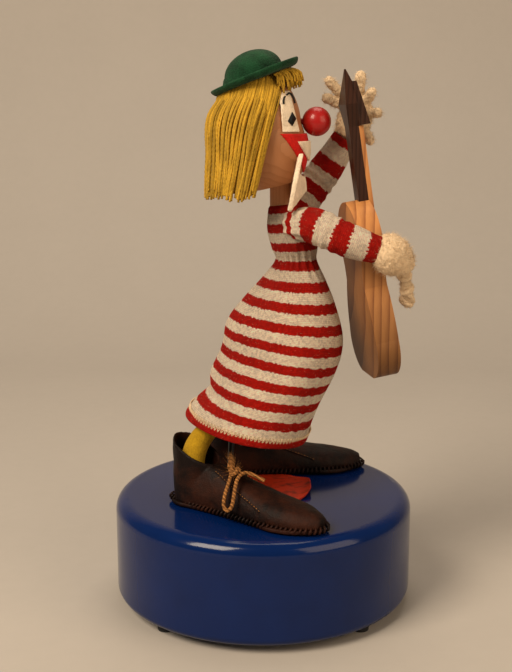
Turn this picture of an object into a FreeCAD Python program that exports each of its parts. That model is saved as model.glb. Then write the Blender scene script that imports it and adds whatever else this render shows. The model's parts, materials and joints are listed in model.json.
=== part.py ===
"""A wind-up musical clown on a round lacquered base, in millimetres.

The origin is on the resting plane under the centre of the base. +Z is up and the figure looks along +X.
A spring-driven musical movement in the base turns a crank, and the crank makes the figure sway.
"""

import FreeCAD, Part
import os
from math import atan2, cos, pi, radians, sin, tan

V = FreeCAD.Vector
UP = V(0, 0, 1)
ACROSS = V(0, 1, 0)
FRONT = V(1, 0, 0)

# Base
BASE_RADIUS = 75.0
BASE_HEIGHT = 50.0
BASE_TOP_ROUND = 6.5
BASE_BOTTOM_ROUND = 4.0
FOOT_HEIGHT = 4.0
FOOT_RADIUS = 4.5
RECESS_RADIUS = 60.0
RECESS_DEPTH = 16.0
CAVITY_RADIUS = 52.0
TOP_THICKNESS = 6.5
PLATE_THICKNESS = 3.0
SCREW_RADIUS = 1.3
SCREW_HEAD_RADIUS = 2.6
SCREW_HEAD_HEIGHT = 1.6
SCREW_BITE = 9.0
DISC_RADIUS = 25.0
DISC_THICKNESS = 0.8
DISC_CURL_RADIUS = 16.0
DISC_CURL_START = 15.0

# Clearances
RUNNING = 0.05
SEAT = 0.05
SOFT_GAP = 0.3
GEAR_GAP = 0.1

# Musical movement
DRIVE_X = -15.0
BED_THICKNESS = 2.5
BED_LIFT = 3.0
BED_HALF_WIDTH = 24.0
BED_BACK = 18.0
ARBOR_RADIUS = 2.4
RATCHET_TEETH = 12
RATCHET_RADIUS = 6.5
RATCHET_STEP = 1.4
RATCHET_THICKNESS = 1.8
CLICK_THICKNESS = 1.6
CLICK_GAP = 0.15
CLICK_REACH = 9.0
CLICK_PIN_RADIUS = 1.2
BARREL_RADIUS = 13.0
BARREL_HEIGHT = 6.0
BARREL_WALL = 1.0
BARREL_GAP = 0.5
SPRING_STRIP = 0.5
SPRING_STEP = 1.4
SPRING_TURNS = 5
COVER_THICKNESS = 1.2
CROWN_TEETH = 48
CROWN_INNER = 12.2
CROWN_OUTER = 14.0
CROWN_TOOTH = 0.35
TOOTH_DEPTH = 1.6
PINION_TEETH = 20
PINION_TOOTH = 0.35
CYLINDER_RADIUS = 5.6
CYLINDER_LENGTH = 24.0
CYLINDER_ARBOR = 1.0
TUNE_NOTES = 18
PINS_PER_NOTE = 3
PIN_RADIUS = 0.25
PIN_HEIGHT = 0.6
BEARING_WIDTH = 2.4
BEARING_HALF = 3.0
WHEEL_TEETH = 30
WHEEL_MODULE = 0.4
WHEEL_WIDTH = 1.4
GOVERNOR_TEETH = 10
GOVERNOR_ANGLE = 30.0
GOVERNOR_ARBOR = 0.6
HOUSING_LENGTH = 9.0
COMB_THICKNESS = 1.0
COMB_DEPTH = 8.0
COMB_GAP = 0.2
KEY_HUB_RADIUS = 3.6
KEY_SPAN = 26.0
KEY_HEIGHT = 9.0
KEY_THICKNESS = 2.0

# Sway drive
SHAFT_RADIUS = 2.0
BUSH_RADIUS = 4.0
BUSH_FLANGE = 6.0
BUSH_FLANGE_THICKNESS = 1.5
WEB_RADIUS = 5.5
WEB_HEIGHT = 5.0
SWAY_ANGLE = 3.0
SWAY_HEIGHT = 102.0
ROD_RADIUS = 1.5
COLLAR_RADIUS = 3.2
COLLAR_HEIGHT = 2.5
SLEEVE_WALL = 1.0
SLEEVE_LENGTH = 26.0
CAP_HEIGHT = 2.0

# Figure
KNIT_THICKNESS = 1.3
HIP_RADIUS = 21.0
HIP_THICKNESS = 4.0
NECK_RADIUS = 5.6
NECK_X = 8.8
HEAD_RADIUS = 19.0
HEAD_LENGTH = 58.0
CHIN_RADIUS = 11.5
HEAD_LEAN = -14.0
HEAD_SEAT = V(6.0, 0, 209.0)
NOSE_RADIUS = 7.0
NOSE_PEG = 1.5
FELT = 1.2
HAIR_THICKNESS = 4.0
HAT_BRIM = 22.6
HAT_CROWN = 14.3
HAT_HEIGHT = 14.5
HAT_CURL = 3.0
HAT_LEAN = -21.7
HAT_SEAT = V(-3.2, 0, 258.3)
TIE_WIDTH = 40.0
TIE_HEIGHT = 27.0
TIE_THICKNESS = 2.2
TIE_LEAN = -8.0
TIE_SEAT = V(18.5, 0, 211.5)
FINGER_RADIUS = 2.3

# Instrument
GUITAR_LENGTH = 87.0
GUITAR_THICKNESS = 11.5
GUITAR_LOWER = 22.0
GUITAR_WAIST = 15.0
GUITAR_UPPER = 17.0
GUITAR_LEAN = -9.1
GUITAR_TURN = 12.0
GUITAR_SEAT = V(58.0, 0, 116.0)
GUITAR_NECK_WIDTH = 7.0
GUITAR_NECK_DEPTH = 5.0
GUITAR_NECK_LENGTH = 62.0
FINGERBOARD_THICKNESS = 2.2
FINGERBOARD_OVERLAP = 18.0

# Legs and boots
LEG_RADIUS = 6.6
LEG_TOP_RADIUS = 5.2
BOOT_LENGTH = 88.0
BOOT_HALF_WIDTH = 13.0
HEEL_RADIUS = 11.0
SOLE_THICKNESS = 1.8
SHAFT_HALF_WIDTH = 10.5
SHAFT_HALF_LENGTH = 13.0
LEATHER = 1.3
COLLAR_BACK = 34.0
COLLAR_SLOPE = 0.5
NEAR_HEEL = (-43.5, -11.6)
NEAR_TURN = -35.0
FAR_HEEL = (-33.0, 27.0)
FAR_TURN = 8.0
LACE_RADIUS = 0.9

# Levels worked out from the sizes above
BASE_BOTTOM = FOOT_HEIGHT
BASE_TOP = FOOT_HEIGHT + BASE_HEIGHT
LEDGE = BASE_BOTTOM + RECESS_DEPTH
CAVITY_TOP = BASE_TOP - TOP_THICKNESS
PLATE_BOTTOM = LEDGE - PLATE_THICKNESS
BED_BOTTOM = LEDGE + BED_LIFT
BED_TOP = BED_BOTTOM + BED_THICKNESS
BARREL_BOTTOM = BED_TOP + BARREL_GAP
BARREL_TOP = BARREL_BOTTOM + BARREL_HEIGHT
COVER_TOP = BARREL_TOP + COVER_THICKNESS
CROWN_RADIUS = (CROWN_INNER + CROWN_OUTER) / 2
TOOTH_REACH = TOOTH_DEPTH - 4 * GEAR_GAP
PINION_RADIUS = CROWN_RADIUS * PINION_TEETH / CROWN_TEETH
CYLINDER_Z = COVER_TOP + TOOTH_DEPTH / 2 + PINION_RADIUS
BEARING_X = DRIVE_X + CROWN_OUTER + 1.2
CYLINDER_X = BEARING_X + BEARING_WIDTH + 1.0
WHEEL_X = CYLINDER_X + CYLINDER_LENGTH + 0.3
END_BEARING_X = WHEEL_X + WHEEL_WIDTH + 0.5
HOUSING_X = END_BEARING_X + BEARING_WIDTH + 0.5
DISC_TOP = BASE_TOP + DISC_THICKNESS
WEB_BOTTOM = DISC_TOP + 0.6
WEB_TOP = WEB_BOTTOM + WEB_HEIGHT
DRIVE = V(DRIVE_X, 0, 0)
ROD_AXIS = V(sin(radians(SWAY_ANGLE)), 0, cos(radians(SWAY_ANGLE)))
SWAY_POINT = V(DRIVE_X, 0, SWAY_HEIGHT)
SLEEVE_RADIUS = ROD_RADIUS + RUNNING + SLEEVE_WALL


def line(start, end):
    return Part.LineSegment(start, end).toShape()


def arc(start, middle, end):
    return Part.Arc(start, middle, end).toShape()


def profile(*edges):
    """A flat face inside a closed run of edges."""
    return Part.Face(Part.Wire(list(edges)))


def dome(wide, low, tall):
    """An arc in the XZ plane from a rim up to the axis, on a sphere centred on the axis."""
    centre = (tall**2 - wide**2 - low**2) / (2 * (tall - low))
    radius = tall - centre
    half = atan2(wide, low - centre) / 2
    middle = V(radius * sin(half), 0, centre + radius * cos(half))
    return arc(V(wide, 0, low), middle, V(0, 0, tall))


def turned(face):
    """A face in the XZ plane turned once round the Z axis."""
    return face.revolve(V(0, 0, 0), UP, 360)


def outline(points):
    """A face inside straight runs between points."""
    return Part.Face(Part.makePolygon(points + points[:1]))


def rod(radius, low, high, x=0.0, y=0.0):
    """An upright cylinder between two levels."""
    return Part.makeCylinder(radius, high - low, V(x, y, low))


def bar(radius, start, end):
    """A round bar from point to point."""
    return Part.makeCylinder(radius, (end - start).Length, start, end - start)


def block(x0, x1, y0, y1, z0, z1):
    return Part.makeBox(x1 - x0, y1 - y0, z1 - z0, V(x0, y0, z0))


def ring(centre, along, wide, deep):
    """An oval of four arcs round a centre, square to a direction. wide lies in the XZ plane."""
    along = V(along).normalize()
    first = ACROSS.cross(along).normalize()
    second = along.cross(first)

    def point(turn):
        return centre + first * (wide * cos(turn)) + second * (deep * sin(turn))

    edges = []
    for quarter in range(4):
        start = quarter * pi / 2
        edges.append(arc(point(start), point(start + pi / 4), point(start + pi / 2)))
    return Part.Wire(edges)


def swelled(stations):
    """A soft form through ovals of (centre, direction, wide, deep)."""
    return Part.makeLoft([ring(*station) for station in stations], True, False, False, 3)


def capsule(start, end, radius):
    """A round-ended finger."""
    shape = bar(radius, start, end)
    return shape.multiFuse([Part.makeSphere(radius, start), Part.makeSphere(radius, end)])


def gear(teeth, radius, depth, tooth, width):
    """A spur gear along Z with straight-sided teeth, tooth wide at the pitch radius."""
    pitch = 2 * pi / teeth
    half = tooth / radius / 2
    points = []
    for number in range(teeth):
        middle = number * pitch
        low, high = radius - depth / 2, radius + depth / 2
        for r, turn in ((low, -1.4), (high, -0.6), (high, 0.6), (low, 1.4)):
            angle = middle + turn * half
            points.append(V(r * cos(angle), r * sin(angle), 0))
    return outline(points).extrude(V(0, 0, width))


def along_x(shape, x, y, z):
    """Lay a shape made along Z along X, with its start at a point."""
    shape.rotate(V(0, 0, 0), ACROSS, 90)
    shape.translate(V(x, y, z))
    return shape


def around(radius, count, first=0.0):
    """Points on a circle round the base's axis."""
    step = 2 * pi / count
    return [(radius * cos(first + i * step), radius * sin(first + i * step)) for i in range(count)]


SCREW_CIRCLE = (RECESS_RADIUS + CAVITY_RADIUS) / 2
PLATE_SCREWS = around(SCREW_CIRCLE, 4, pi / 4)
FEET = around((RECESS_RADIUS + BASE_RADIUS - BASE_BOTTOM_ROUND) / 2, 4, pi / 4)
POST_INSET = 4.0
BED_LEFT = DRIVE_X - BED_BACK
BED_RIGHT = HOUSING_X + HOUSING_LENGTH + 1.0
BED_SCREWS = [
    (x, side * (BED_HALF_WIDTH - POST_INSET))
    for x in (BED_LEFT + POST_INSET, BED_RIGHT - POST_INSET)
    for side in (-1, 1)
]


def bored(shape, places, radius, low, high):
    """Upright holes through a shape."""
    return shape.cut(Part.makeCompound([rod(radius, low, high, x, y) for x, y in places]))


def screws(places, seat, reach):
    """Pan-headed screws with their heads under a level."""
    solids = []
    for x, y in places:
        head = rod(SCREW_HEAD_RADIUS, seat - SCREW_HEAD_HEIGHT, seat, x, y)
        solids.append(head.fuse(rod(SCREW_RADIUS, seat, reach, x, y)).removeSplitter())
    return Part.makeCompound(solids)


def base_shell():
    """The turned drum: rounded edges, a key recess, a ledge for the plate and a cavity."""
    edge, low, top = BASE_RADIUS, BASE_BOTTOM, BASE_TOP
    top_bend = BASE_TOP_ROUND * (1 - cos(pi / 4))
    low_bend = BASE_BOTTOM_ROUND * (1 - cos(pi / 4))
    face = profile(
        line(V(RECESS_RADIUS, 0, low), V(edge - BASE_BOTTOM_ROUND, 0, low)),
        arc(
            V(edge - BASE_BOTTOM_ROUND, 0, low),
            V(edge - low_bend, 0, low + low_bend),
            V(edge, 0, low + BASE_BOTTOM_ROUND),
        ),
        line(V(edge, 0, low + BASE_BOTTOM_ROUND), V(edge, 0, top - BASE_TOP_ROUND)),
        arc(
            V(edge, 0, top - BASE_TOP_ROUND),
            V(edge - top_bend, 0, top - top_bend),
            V(edge - BASE_TOP_ROUND, 0, top),
        ),
        line(V(edge - BASE_TOP_ROUND, 0, top), V(0, 0, top)),
        line(V(0, 0, top), V(0, 0, CAVITY_TOP)),
        line(V(0, 0, CAVITY_TOP), V(CAVITY_RADIUS, 0, CAVITY_TOP)),
        line(V(CAVITY_RADIUS, 0, CAVITY_TOP), V(CAVITY_RADIUS, 0, LEDGE)),
        line(V(CAVITY_RADIUS, 0, LEDGE), V(RECESS_RADIUS, 0, LEDGE)),
        line(V(RECESS_RADIUS, 0, LEDGE), V(RECESS_RADIUS, 0, low)),
    )
    shell = turned(face)
    shell = bored(shell, PLATE_SCREWS, SCREW_RADIUS + SEAT, LEDGE, LEDGE + SCREW_BITE + 1)
    shell = bored(shell, BOOT_SCREWS, SCREW_RADIUS + SEAT, CAVITY_TOP - 1, BASE_TOP + 1)
    return shell.cut(rod(BUSH_RADIUS + SEAT, CAVITY_TOP - 1, BASE_TOP + 1, DRIVE_X))


def base_plate():
    plate = rod(RECESS_RADIUS - SOFT_GAP, PLATE_BOTTOM, LEDGE)
    holes = PLATE_SCREWS + BED_SCREWS
    plate = bored(plate, holes, SCREW_RADIUS + SEAT, PLATE_BOTTOM - 1, LEDGE + 1)
    return plate.cut(rod(ARBOR_RADIUS + 0.8, PLATE_BOTTOM - 1, LEDGE + 1, DRIVE_X))


def feet():
    return Part.makeCompound([rod(FOOT_RADIUS, 0, FOOT_HEIGHT, x, y) for x, y in FEET])


def cover_disc():
    """A thin painted disc on the base, flat at the back and curled up at its front edge."""
    reach = (DISC_RADIUS - DISC_CURL_START) / DISC_CURL_RADIUS

    def bent(radius, share):
        turn = reach * share
        return V(
            DISC_CURL_START + radius * sin(turn), -DISC_RADIUS, BASE_TOP + DISC_CURL_RADIUS - radius * cos(turn)
        )

    outer = DISC_CURL_RADIUS
    inner = DISC_CURL_RADIUS - DISC_THICKNESS
    back = -DISC_RADIUS
    face = profile(
        line(V(back, back, BASE_TOP), bent(outer, 0)),
        arc(bent(outer, 0), bent(outer, 0.5), bent(outer, 1)),
        line(bent(outer, 1), bent(inner, 1)),
        arc(bent(inner, 1), bent(inner, 0.5), bent(inner, 0)),
        line(bent(inner, 0), V(back, back, DISC_TOP)),
        line(V(back, back, DISC_TOP), V(back, back, BASE_TOP)),
    )
    sheet = face.extrude(V(0, 2 * DISC_RADIUS, 0))
    disc = sheet.common(rod(DISC_RADIUS, BASE_TOP - 1, BASE_TOP + DISC_RADIUS))
    return disc.cut(rod(BUSH_RADIUS + SEAT, BASE_TOP - 1, DISC_TOP + 1, DRIVE_X))


def top_bush():
    bush = rod(BUSH_RADIUS, CAVITY_TOP, BASE_TOP, DRIVE_X)
    bush = bush.fuse(rod(BUSH_FLANGE, CAVITY_TOP - BUSH_FLANGE_THICKNESS, CAVITY_TOP, DRIVE_X))
    bush = bush.removeSplitter()
    return bush.cut(rod(SHAFT_RADIUS + RUNNING, CAVITY_TOP - 5, BASE_TOP + 1, DRIVE_X))


COMB_FRONT = CYLINDER_RADIUS + PIN_HEIGHT + COMB_GAP
COMB_ROOT = COMB_FRONT + 7.0
COMB_BOTTOM = CYLINDER_Z - COMB_THICKNESS / 2
COMB_SCREWS = [
    (CYLINDER_X + share * CYLINDER_LENGTH, COMB_ROOT + COMB_DEPTH / 2) for share in (0.2, 0.8)
]
GOVERNOR_SPACING = WHEEL_MODULE * (WHEEL_TEETH + GOVERNOR_TEETH) / 2 + GEAR_GAP
GOVERNOR_Y = -GOVERNOR_SPACING * cos(radians(GOVERNOR_ANGLE))
GOVERNOR_Z = CYLINDER_Z - GOVERNOR_SPACING * sin(radians(GOVERNOR_ANGLE))


def bedplate():
    """The cast bed: plate, feet, two cylinder bearings and the comb's riser."""
    plate = block(BED_LEFT, BED_RIGHT, -BED_HALF_WIDTH, BED_HALF_WIDTH, BED_BOTTOM, BED_TOP)
    parts = [rod(POST_INSET - 0.5, LEDGE, BED_BOTTOM, x, y) for x, y in BED_SCREWS]
    for x in (BEARING_X, END_BEARING_X):
        tall = CYLINDER_Z + BEARING_HALF
        parts.append(block(x, x + BEARING_WIDTH, -BEARING_HALF, BEARING_HALF, BED_TOP, tall))
    end = CYLINDER_X + CYLINDER_LENGTH
    parts.append(block(CYLINDER_X, end, COMB_ROOT, COMB_ROOT + COMB_DEPTH, BED_TOP, COMB_BOTTOM))
    bed = plate.multiFuse(parts).removeSplitter()
    bed = bed.cut(rod(ARBOR_RADIUS + RUNNING, BED_BOTTOM - 1, BED_TOP + 1, DRIVE_X))
    arbor = bar(CYLINDER_ARBOR + RUNNING, V(BEARING_X - 1, 0, CYLINDER_Z), V(HOUSING_X, 0, CYLINDER_Z))
    bed = bed.cut(arbor)
    bed = bored(bed, COMB_SCREWS, SCREW_RADIUS + SEAT, COMB_BOTTOM - 5, COMB_BOTTOM + 1)
    bed = bored(bed, [CLICK_PIVOT], CLICK_PIN_RADIUS + SEAT, BED_BOTTOM - 1, BED_TOP + 1)
    return bored(bed, BED_SCREWS, SCREW_RADIUS + SEAT, LEDGE - 1, BED_TOP + 1)


RATCHET_LOW = LEDGE + 0.5
CLICK_PIVOT = (DRIVE_X + RATCHET_RADIUS + 0.6, -CLICK_REACH)


def ratchet_wheel():
    """A saw-toothed wheel on the winding arbor."""
    step = 2 * pi / RATCHET_TEETH
    low = RATCHET_RADIUS - RATCHET_STEP
    points = []
    for number in range(RATCHET_TEETH):
        angle = number * step
        points.append(V(low * cos(angle), low * sin(angle), 0))
        points.append(V(RATCHET_RADIUS * cos(angle), RATCHET_RADIUS * sin(angle), 0))
    wheel = outline(points).extrude(V(0, 0, RATCHET_THICKNESS))
    wheel.translate(V(DRIVE_X, 0, RATCHET_LOW))
    return wheel.cut(rod(ARBOR_RADIUS + SEAT, RATCHET_LOW - 1, RATCHET_LOW + RATCHET_THICKNESS + 1, DRIVE_X))


def click():
    """The pawl that holds the wound wheel, with its pivot pin up into the bed."""
    x, y = CLICK_PIVOT
    nose_x = DRIVE_X + RATCHET_RADIUS
    eye = CLICK_PIN_RADIUS + 0.8
    face = outline(
        [
            V(nose_x - RATCHET_STEP / 2, -CLICK_GAP, RATCHET_LOW),
            V(nose_x + 1.2, -CLICK_GAP, RATCHET_LOW),
            V(x + eye, y, RATCHET_LOW),
            V(x + eye / 2, y - eye, RATCHET_LOW),
            V(x - eye / 2, y - eye, RATCHET_LOW),
            V(nose_x + 0.2, -2.5, RATCHET_LOW),
        ]
    )
    pawl = face.extrude(V(0, 0, CLICK_THICKNESS))
    return pawl.fuse(rod(CLICK_PIN_RADIUS, RATCHET_LOW, BED_TOP, x, y)).removeSplitter()


def winding_arbor():
    return rod(ARBOR_RADIUS, PLATE_BOTTOM - 6, BARREL_TOP - 0.5, DRIVE_X)


KEY_TOP = PLATE_BOTTOM - 2.4
KEY_LOW = KEY_TOP - KEY_HEIGHT - 1.2


def winding_key():
    """A two-winged key: a hub on the arbor and a plate with a hole in each wing."""
    hub = rod(KEY_HUB_RADIUS, KEY_LOW + 2, KEY_TOP, DRIVE_X)
    half = KEY_SPAN / 2
    lobe = KEY_HEIGHT / 2
    middle = KEY_LOW + lobe
    y = -KEY_THICKNESS / 2
    wings = [block(DRIVE_X - half + lobe, DRIVE_X + half - lobe, y, -y, middle - lobe / 2, middle + lobe / 2)]
    for side in (-1, 1):
        centre = V(DRIVE_X + side * (half - lobe), y, middle)
        eye = Part.makeCylinder(lobe, KEY_THICKNESS, centre, ACROSS)
        wings.append(eye)
    key = hub.multiFuse(wings).removeSplitter()
    for side in (-1, 1):
        centre = V(DRIVE_X + side * (half - lobe), y - 1, middle)
        key = key.cut(Part.makeCylinder(lobe / 2, KEY_THICKNESS + 2, centre, ACROSS))
    return key.cut(rod(ARBOR_RADIUS + SEAT, PLATE_BOTTOM - 6, PLATE_BOTTOM, DRIVE_X))


def spring_barrel():
    can = rod(BARREL_RADIUS, BARREL_BOTTOM, BARREL_TOP, DRIVE_X)
    can = can.cut(rod(BARREL_RADIUS - BARREL_WALL, BARREL_BOTTOM + BARREL_WALL, BARREL_TOP + 1, DRIVE_X))
    return can.cut(rod(ARBOR_RADIUS + RUNNING, BARREL_BOTTOM - 1, BARREL_TOP, DRIVE_X))


def mainspring():
    """A flat strip wound in half circles that grow by half a step each."""
    outside, inside = [], []
    radius = BARREL_RADIUS - BARREL_WALL - SOFT_GAP - SPRING_STRIP / 2 - SPRING_TURNS * SPRING_STEP
    centre = 0.0
    half_step = SPRING_STEP / 2
    for number in range(2 * SPRING_TURNS):
        side = 1 if number % 2 == 0 else -1
        for shift, edges in ((SPRING_STRIP / 2, outside), (-SPRING_STRIP / 2, inside)):
            r = radius + shift
            edges.append(
                arc(V(centre + side * r, 0, 0), V(centre, side * r, 0), V(centre - side * r, 0, 0))
            )
        radius += half_step / 2
        centre += side * half_step / 2
    first = line(inside[0].firstVertex().Point, outside[0].firstVertex().Point)
    last = line(inside[-1].lastVertex().Point, outside[-1].lastVertex().Point)
    face = Part.Face(Part.Wire(Part.__sortEdges__(outside + inside + [first, last])))
    strip = face.extrude(V(0, 0, BARREL_HEIGHT - BARREL_WALL - 2 * SOFT_GAP))
    strip.translate(V(DRIVE_X, 0, BARREL_BOTTOM + BARREL_WALL + SOFT_GAP))
    return strip


def crown_wheel():
    """The barrel's cover, with upright teeth round its rim."""
    cover = rod(CROWN_OUTER, BARREL_TOP, COVER_TOP, DRIVE_X)
    teeth = []
    for number in range(CROWN_TEETH):
        half = CROWN_TOOTH / 2
        tooth = block(CROWN_INNER, CROWN_OUTER, -half, half, COVER_TOP - 0.2, COVER_TOP + TOOTH_REACH)
        tooth.rotate(V(0, 0, 0), UP, (number + 0.5) * 360 / CROWN_TEETH)
        tooth.translate(DRIVE)
        teeth.append(tooth)
    teeth_ring = Part.makeCompound(teeth).common(rod(CROWN_OUTER, COVER_TOP - 1, COVER_TOP + 9, DRIVE_X))
    wheel = cover.fuse(teeth_ring).removeSplitter()
    return wheel.cut(rod(SHAFT_RADIUS + SEAT, BARREL_TOP - 1, COVER_TOP + 9, DRIVE_X))


def cylinder_pinion():
    shape = gear(PINION_TEETH, PINION_RADIUS, TOOTH_REACH, PINION_TOOTH, CROWN_OUTER - CROWN_INNER)
    shape = shape.cut(rod(CYLINDER_ARBOR + SEAT, -1, CROWN_OUTER))
    return along_x(shape, DRIVE_X + CROWN_INNER, 0, CYLINDER_Z)


def tune_cylinder():
    """The pinned cylinder on its arbor."""
    arbor = rod(CYLINDER_ARBOR, DRIVE_X + CROWN_INNER, END_BEARING_X + BEARING_WIDTH)
    body = rod(CYLINDER_RADIUS, CYLINDER_X, CYLINDER_X + CYLINDER_LENGTH)
    pins = []
    pitch = CYLINDER_LENGTH / TUNE_NOTES
    for note in range(TUNE_NOTES):
        for beat in range(PINS_PER_NOTE):
            angle = radians(20 + 137.5 * (note * PINS_PER_NOTE + beat))
            out = V(cos(angle), sin(angle), 0)
            start = out * (CYLINDER_RADIUS - PIN_HEIGHT) + V(0, 0, CYLINDER_X + (note + 0.5) * pitch)
            pins.append(Part.makeCylinder(PIN_RADIUS, 2 * PIN_HEIGHT, start, out))
    shape = body.multiFuse([arbor] + pins)
    return along_x(shape, 0, 0, CYLINDER_Z)


def cylinder_wheel():
    radius = WHEEL_MODULE * WHEEL_TEETH / 2
    tooth = WHEEL_MODULE * pi / 2 - 2 * GEAR_GAP
    shape = gear(WHEEL_TEETH, radius, 2 * WHEEL_MODULE, tooth, WHEEL_WIDTH)
    shape = shape.cut(rod(CYLINDER_ARBOR + SEAT, -1, WHEEL_WIDTH + 1))
    return along_x(shape, WHEEL_X, 0, CYLINDER_Z)


def governor_pinion():
    """The air brake's pinion on its arbor, turned so that a gap faces the wheel's tooth."""
    radius = WHEEL_MODULE * GOVERNOR_TEETH / 2
    tooth = WHEEL_MODULE * pi / 2 - 2 * GEAR_GAP
    shape = gear(GOVERNOR_TEETH, radius, 2 * WHEEL_MODULE, tooth, WHEEL_WIDTH)
    shape = shape.fuse(rod(GOVERNOR_ARBOR, 0, HOUSING_X + HOUSING_LENGTH / 2 - WHEEL_X)).removeSplitter()
    shape.rotate(V(0, 0, 0), UP, GOVERNOR_MESH)
    return along_x(shape, WHEEL_X, GOVERNOR_Y, GOVERNOR_Z)


# The pinion lies at this angle round the wheel, and a gap between its teeth takes the wheel's nearest tooth.
MESH_AT = GOVERNOR_ANGLE - 90
WHEEL_STEP = 360 / WHEEL_TEETH
TOOTH_OFF = round(MESH_AT / WHEEL_STEP) * WHEEL_STEP - MESH_AT
GOVERNOR_MESH = MESH_AT + 180 - TOOTH_OFF * WHEEL_TEETH / GOVERNOR_TEETH - 180 / GOVERNOR_TEETH


def governor_housing():
    """The closed brake box on the end of the bed."""
    y0, y1 = GOVERNOR_Y - 6.0, GOVERNOR_Y + 6.0
    box = block(HOUSING_X, HOUSING_X + HOUSING_LENGTH, y0, y1, BED_TOP, GOVERNOR_Z + 4)
    upright = [edge for edge in box.Edges if abs(edge.tangentAt(edge.FirstParameter).z) > 0.9]
    box = box.makeFillet(1.5, upright)
    hole = bar(
        GOVERNOR_ARBOR + RUNNING,
        V(HOUSING_X - 1, GOVERNOR_Y, GOVERNOR_Z),
        V(HOUSING_X + HOUSING_LENGTH / 2 + 0.5, GOVERNOR_Y, GOVERNOR_Z),
    )
    return box.cut(hole)


def comb():
    """The steel comb: one tooth for each note, long ones first."""
    end = CYLINDER_X + CYLINDER_LENGTH
    plate = block(
        CYLINDER_X, end, COMB_ROOT, COMB_ROOT + COMB_DEPTH, COMB_BOTTOM, COMB_BOTTOM + COMB_THICKNESS
    )
    pitch = CYLINDER_LENGTH / TUNE_NOTES
    gap = pitch / 4
    teeth = []
    for note in range(TUNE_NOTES):
        x = CYLINDER_X + note * pitch + gap / 2
        teeth.append(
            block(x, x + pitch - gap, COMB_FRONT, COMB_ROOT + 0.5, COMB_BOTTOM, COMB_BOTTOM + COMB_THICKNESS)
        )
    shape = plate.multiFuse(teeth).removeSplitter()
    return bored(shape, COMB_SCREWS, SCREW_RADIUS + SEAT, COMB_BOTTOM - 1, COMB_BOTTOM + 3)


def comb_screws():
    top = COMB_BOTTOM + COMB_THICKNESS
    solids = []
    for x, y in COMB_SCREWS:
        head = rod(SCREW_HEAD_RADIUS, top, top + SCREW_HEAD_HEIGHT, x, y)
        solids.append(head.fuse(rod(SCREW_RADIUS, top - 4.5, top, x, y)).removeSplitter())
    return Part.makeCompound(solids)


def on_rod(level):
    """The point of the sway rod's axis at a level."""
    return SWAY_POINT + ROD_AXIS * ((level - SWAY_HEIGHT) / ROD_AXIS.z)


def rod_piece(radius, low, length):
    """A cylinder on the sway rod's axis from a level."""
    return Part.makeCylinder(radius, length, on_rod(low), ROD_AXIS)


ROD_START = WEB_BOTTOM + WEB_HEIGHT / 2
SHAFT_TOP = ROD_START - 0.4
HIP_LOW = SWAY_HEIGHT
COLLAR_LOW = HIP_LOW - COLLAR_HEIGHT - SOFT_GAP
SLEEVE_LOW = COLLAR_LOW + COLLAR_HEIGHT + SOFT_GAP
CAP_LOW = SLEEVE_LOW + SLEEVE_LENGTH + SOFT_GAP
ROD_LENGTH = (CAP_LOW + CAP_HEIGHT - ROD_START) / ROD_AXIS.z


def drive_shaft():
    return rod(SHAFT_RADIUS, BARREL_TOP, SHAFT_TOP, DRIVE_X)


def crank_web():
    """The disc that holds the sway rod off the shaft's axis."""
    web = rod(WEB_RADIUS, WEB_BOTTOM, WEB_TOP, DRIVE_X)
    web = web.cut(rod(SHAFT_RADIUS + SEAT, WEB_BOTTOM - 1, SHAFT_TOP, DRIVE_X))
    return web.cut(rod_piece(ROD_RADIUS + SEAT, ROD_START, WEB_HEIGHT))


def sway_rod():
    return rod_piece(ROD_RADIUS, ROD_START, ROD_LENGTH)


def thrust_collar():
    collar = rod_piece(COLLAR_RADIUS, COLLAR_LOW, COLLAR_HEIGHT)
    return collar.cut(rod_piece(ROD_RADIUS + SEAT, COLLAR_LOW - 1, COLLAR_HEIGHT + 2))


def rod_cap():
    cap = rod_piece(COLLAR_RADIUS, CAP_LOW, CAP_HEIGHT)
    return cap.cut(rod_piece(ROD_RADIUS + SEAT, CAP_LOW - 1, CAP_HEIGHT + 2))


def sway_sleeve():
    sleeve = rod_piece(SLEEVE_RADIUS, SLEEVE_LOW, SLEEVE_LENGTH)
    return sleeve.cut(rod_piece(ROD_RADIUS + RUNNING, SLEEVE_LOW - 1, SLEEVE_LENGTH + 2))


def hip_board():
    board = rod(HIP_RADIUS, HIP_LOW + SOFT_GAP, HIP_LOW + HIP_THICKNESS, -4)
    return board.cut(rod_piece(SLEEVE_RADIUS + SEAT, HIP_LOW - 2, HIP_THICKNESS + 4))


# Stations of the knitted body: x, height, lean, half depth front to back, half width.
BODY_STATIONS = (
    (-8.5, 88.5, 12.0, 31.5, 37.0),
    (-2.0, 103.0, 12.0, 30.0, 36.0),
    (7.5, 122.0, 11.0, 30.0, 32.0),
    (11.4, 137.0, 9.0, 29.0, 30.0),
    (14.0, 152.0, 6.0, 23.0, 24.0),
    (15.6, 163.0, 3.0, 16.5, 18.0),
    (16.0, 172.5, 0.0, 11.0, 12.5),
    (15.0, 179.0, -3.0, 12.0, 14.0),
    (13.0, 189.0, -6.0, 12.0, 14.5),
    (10.0, 199.0, -8.0, 8.0, 9.0),
)


def body_form(shrink, first=0):
    """The clown's body, drawn in all round by a thickness."""
    stations = []
    for x, z, lean, deep, wide in BODY_STATIONS[first:]:
        tilt = radians(lean)
        stations.append((V(x, 0, z), V(sin(tilt), 0, cos(tilt)), deep - shrink, wide - shrink))
    return swelled(stations)


def sweater():
    """The knitted tube, open at the hem and at the neck."""
    knit = body_form(0).cut(body_form(KNIT_THICKNESS))
    return knit.cut(rod(NECK_RADIUS + SOFT_GAP, NECK_LOW, HEAD_SEAT.z, NECK_X))


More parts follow.
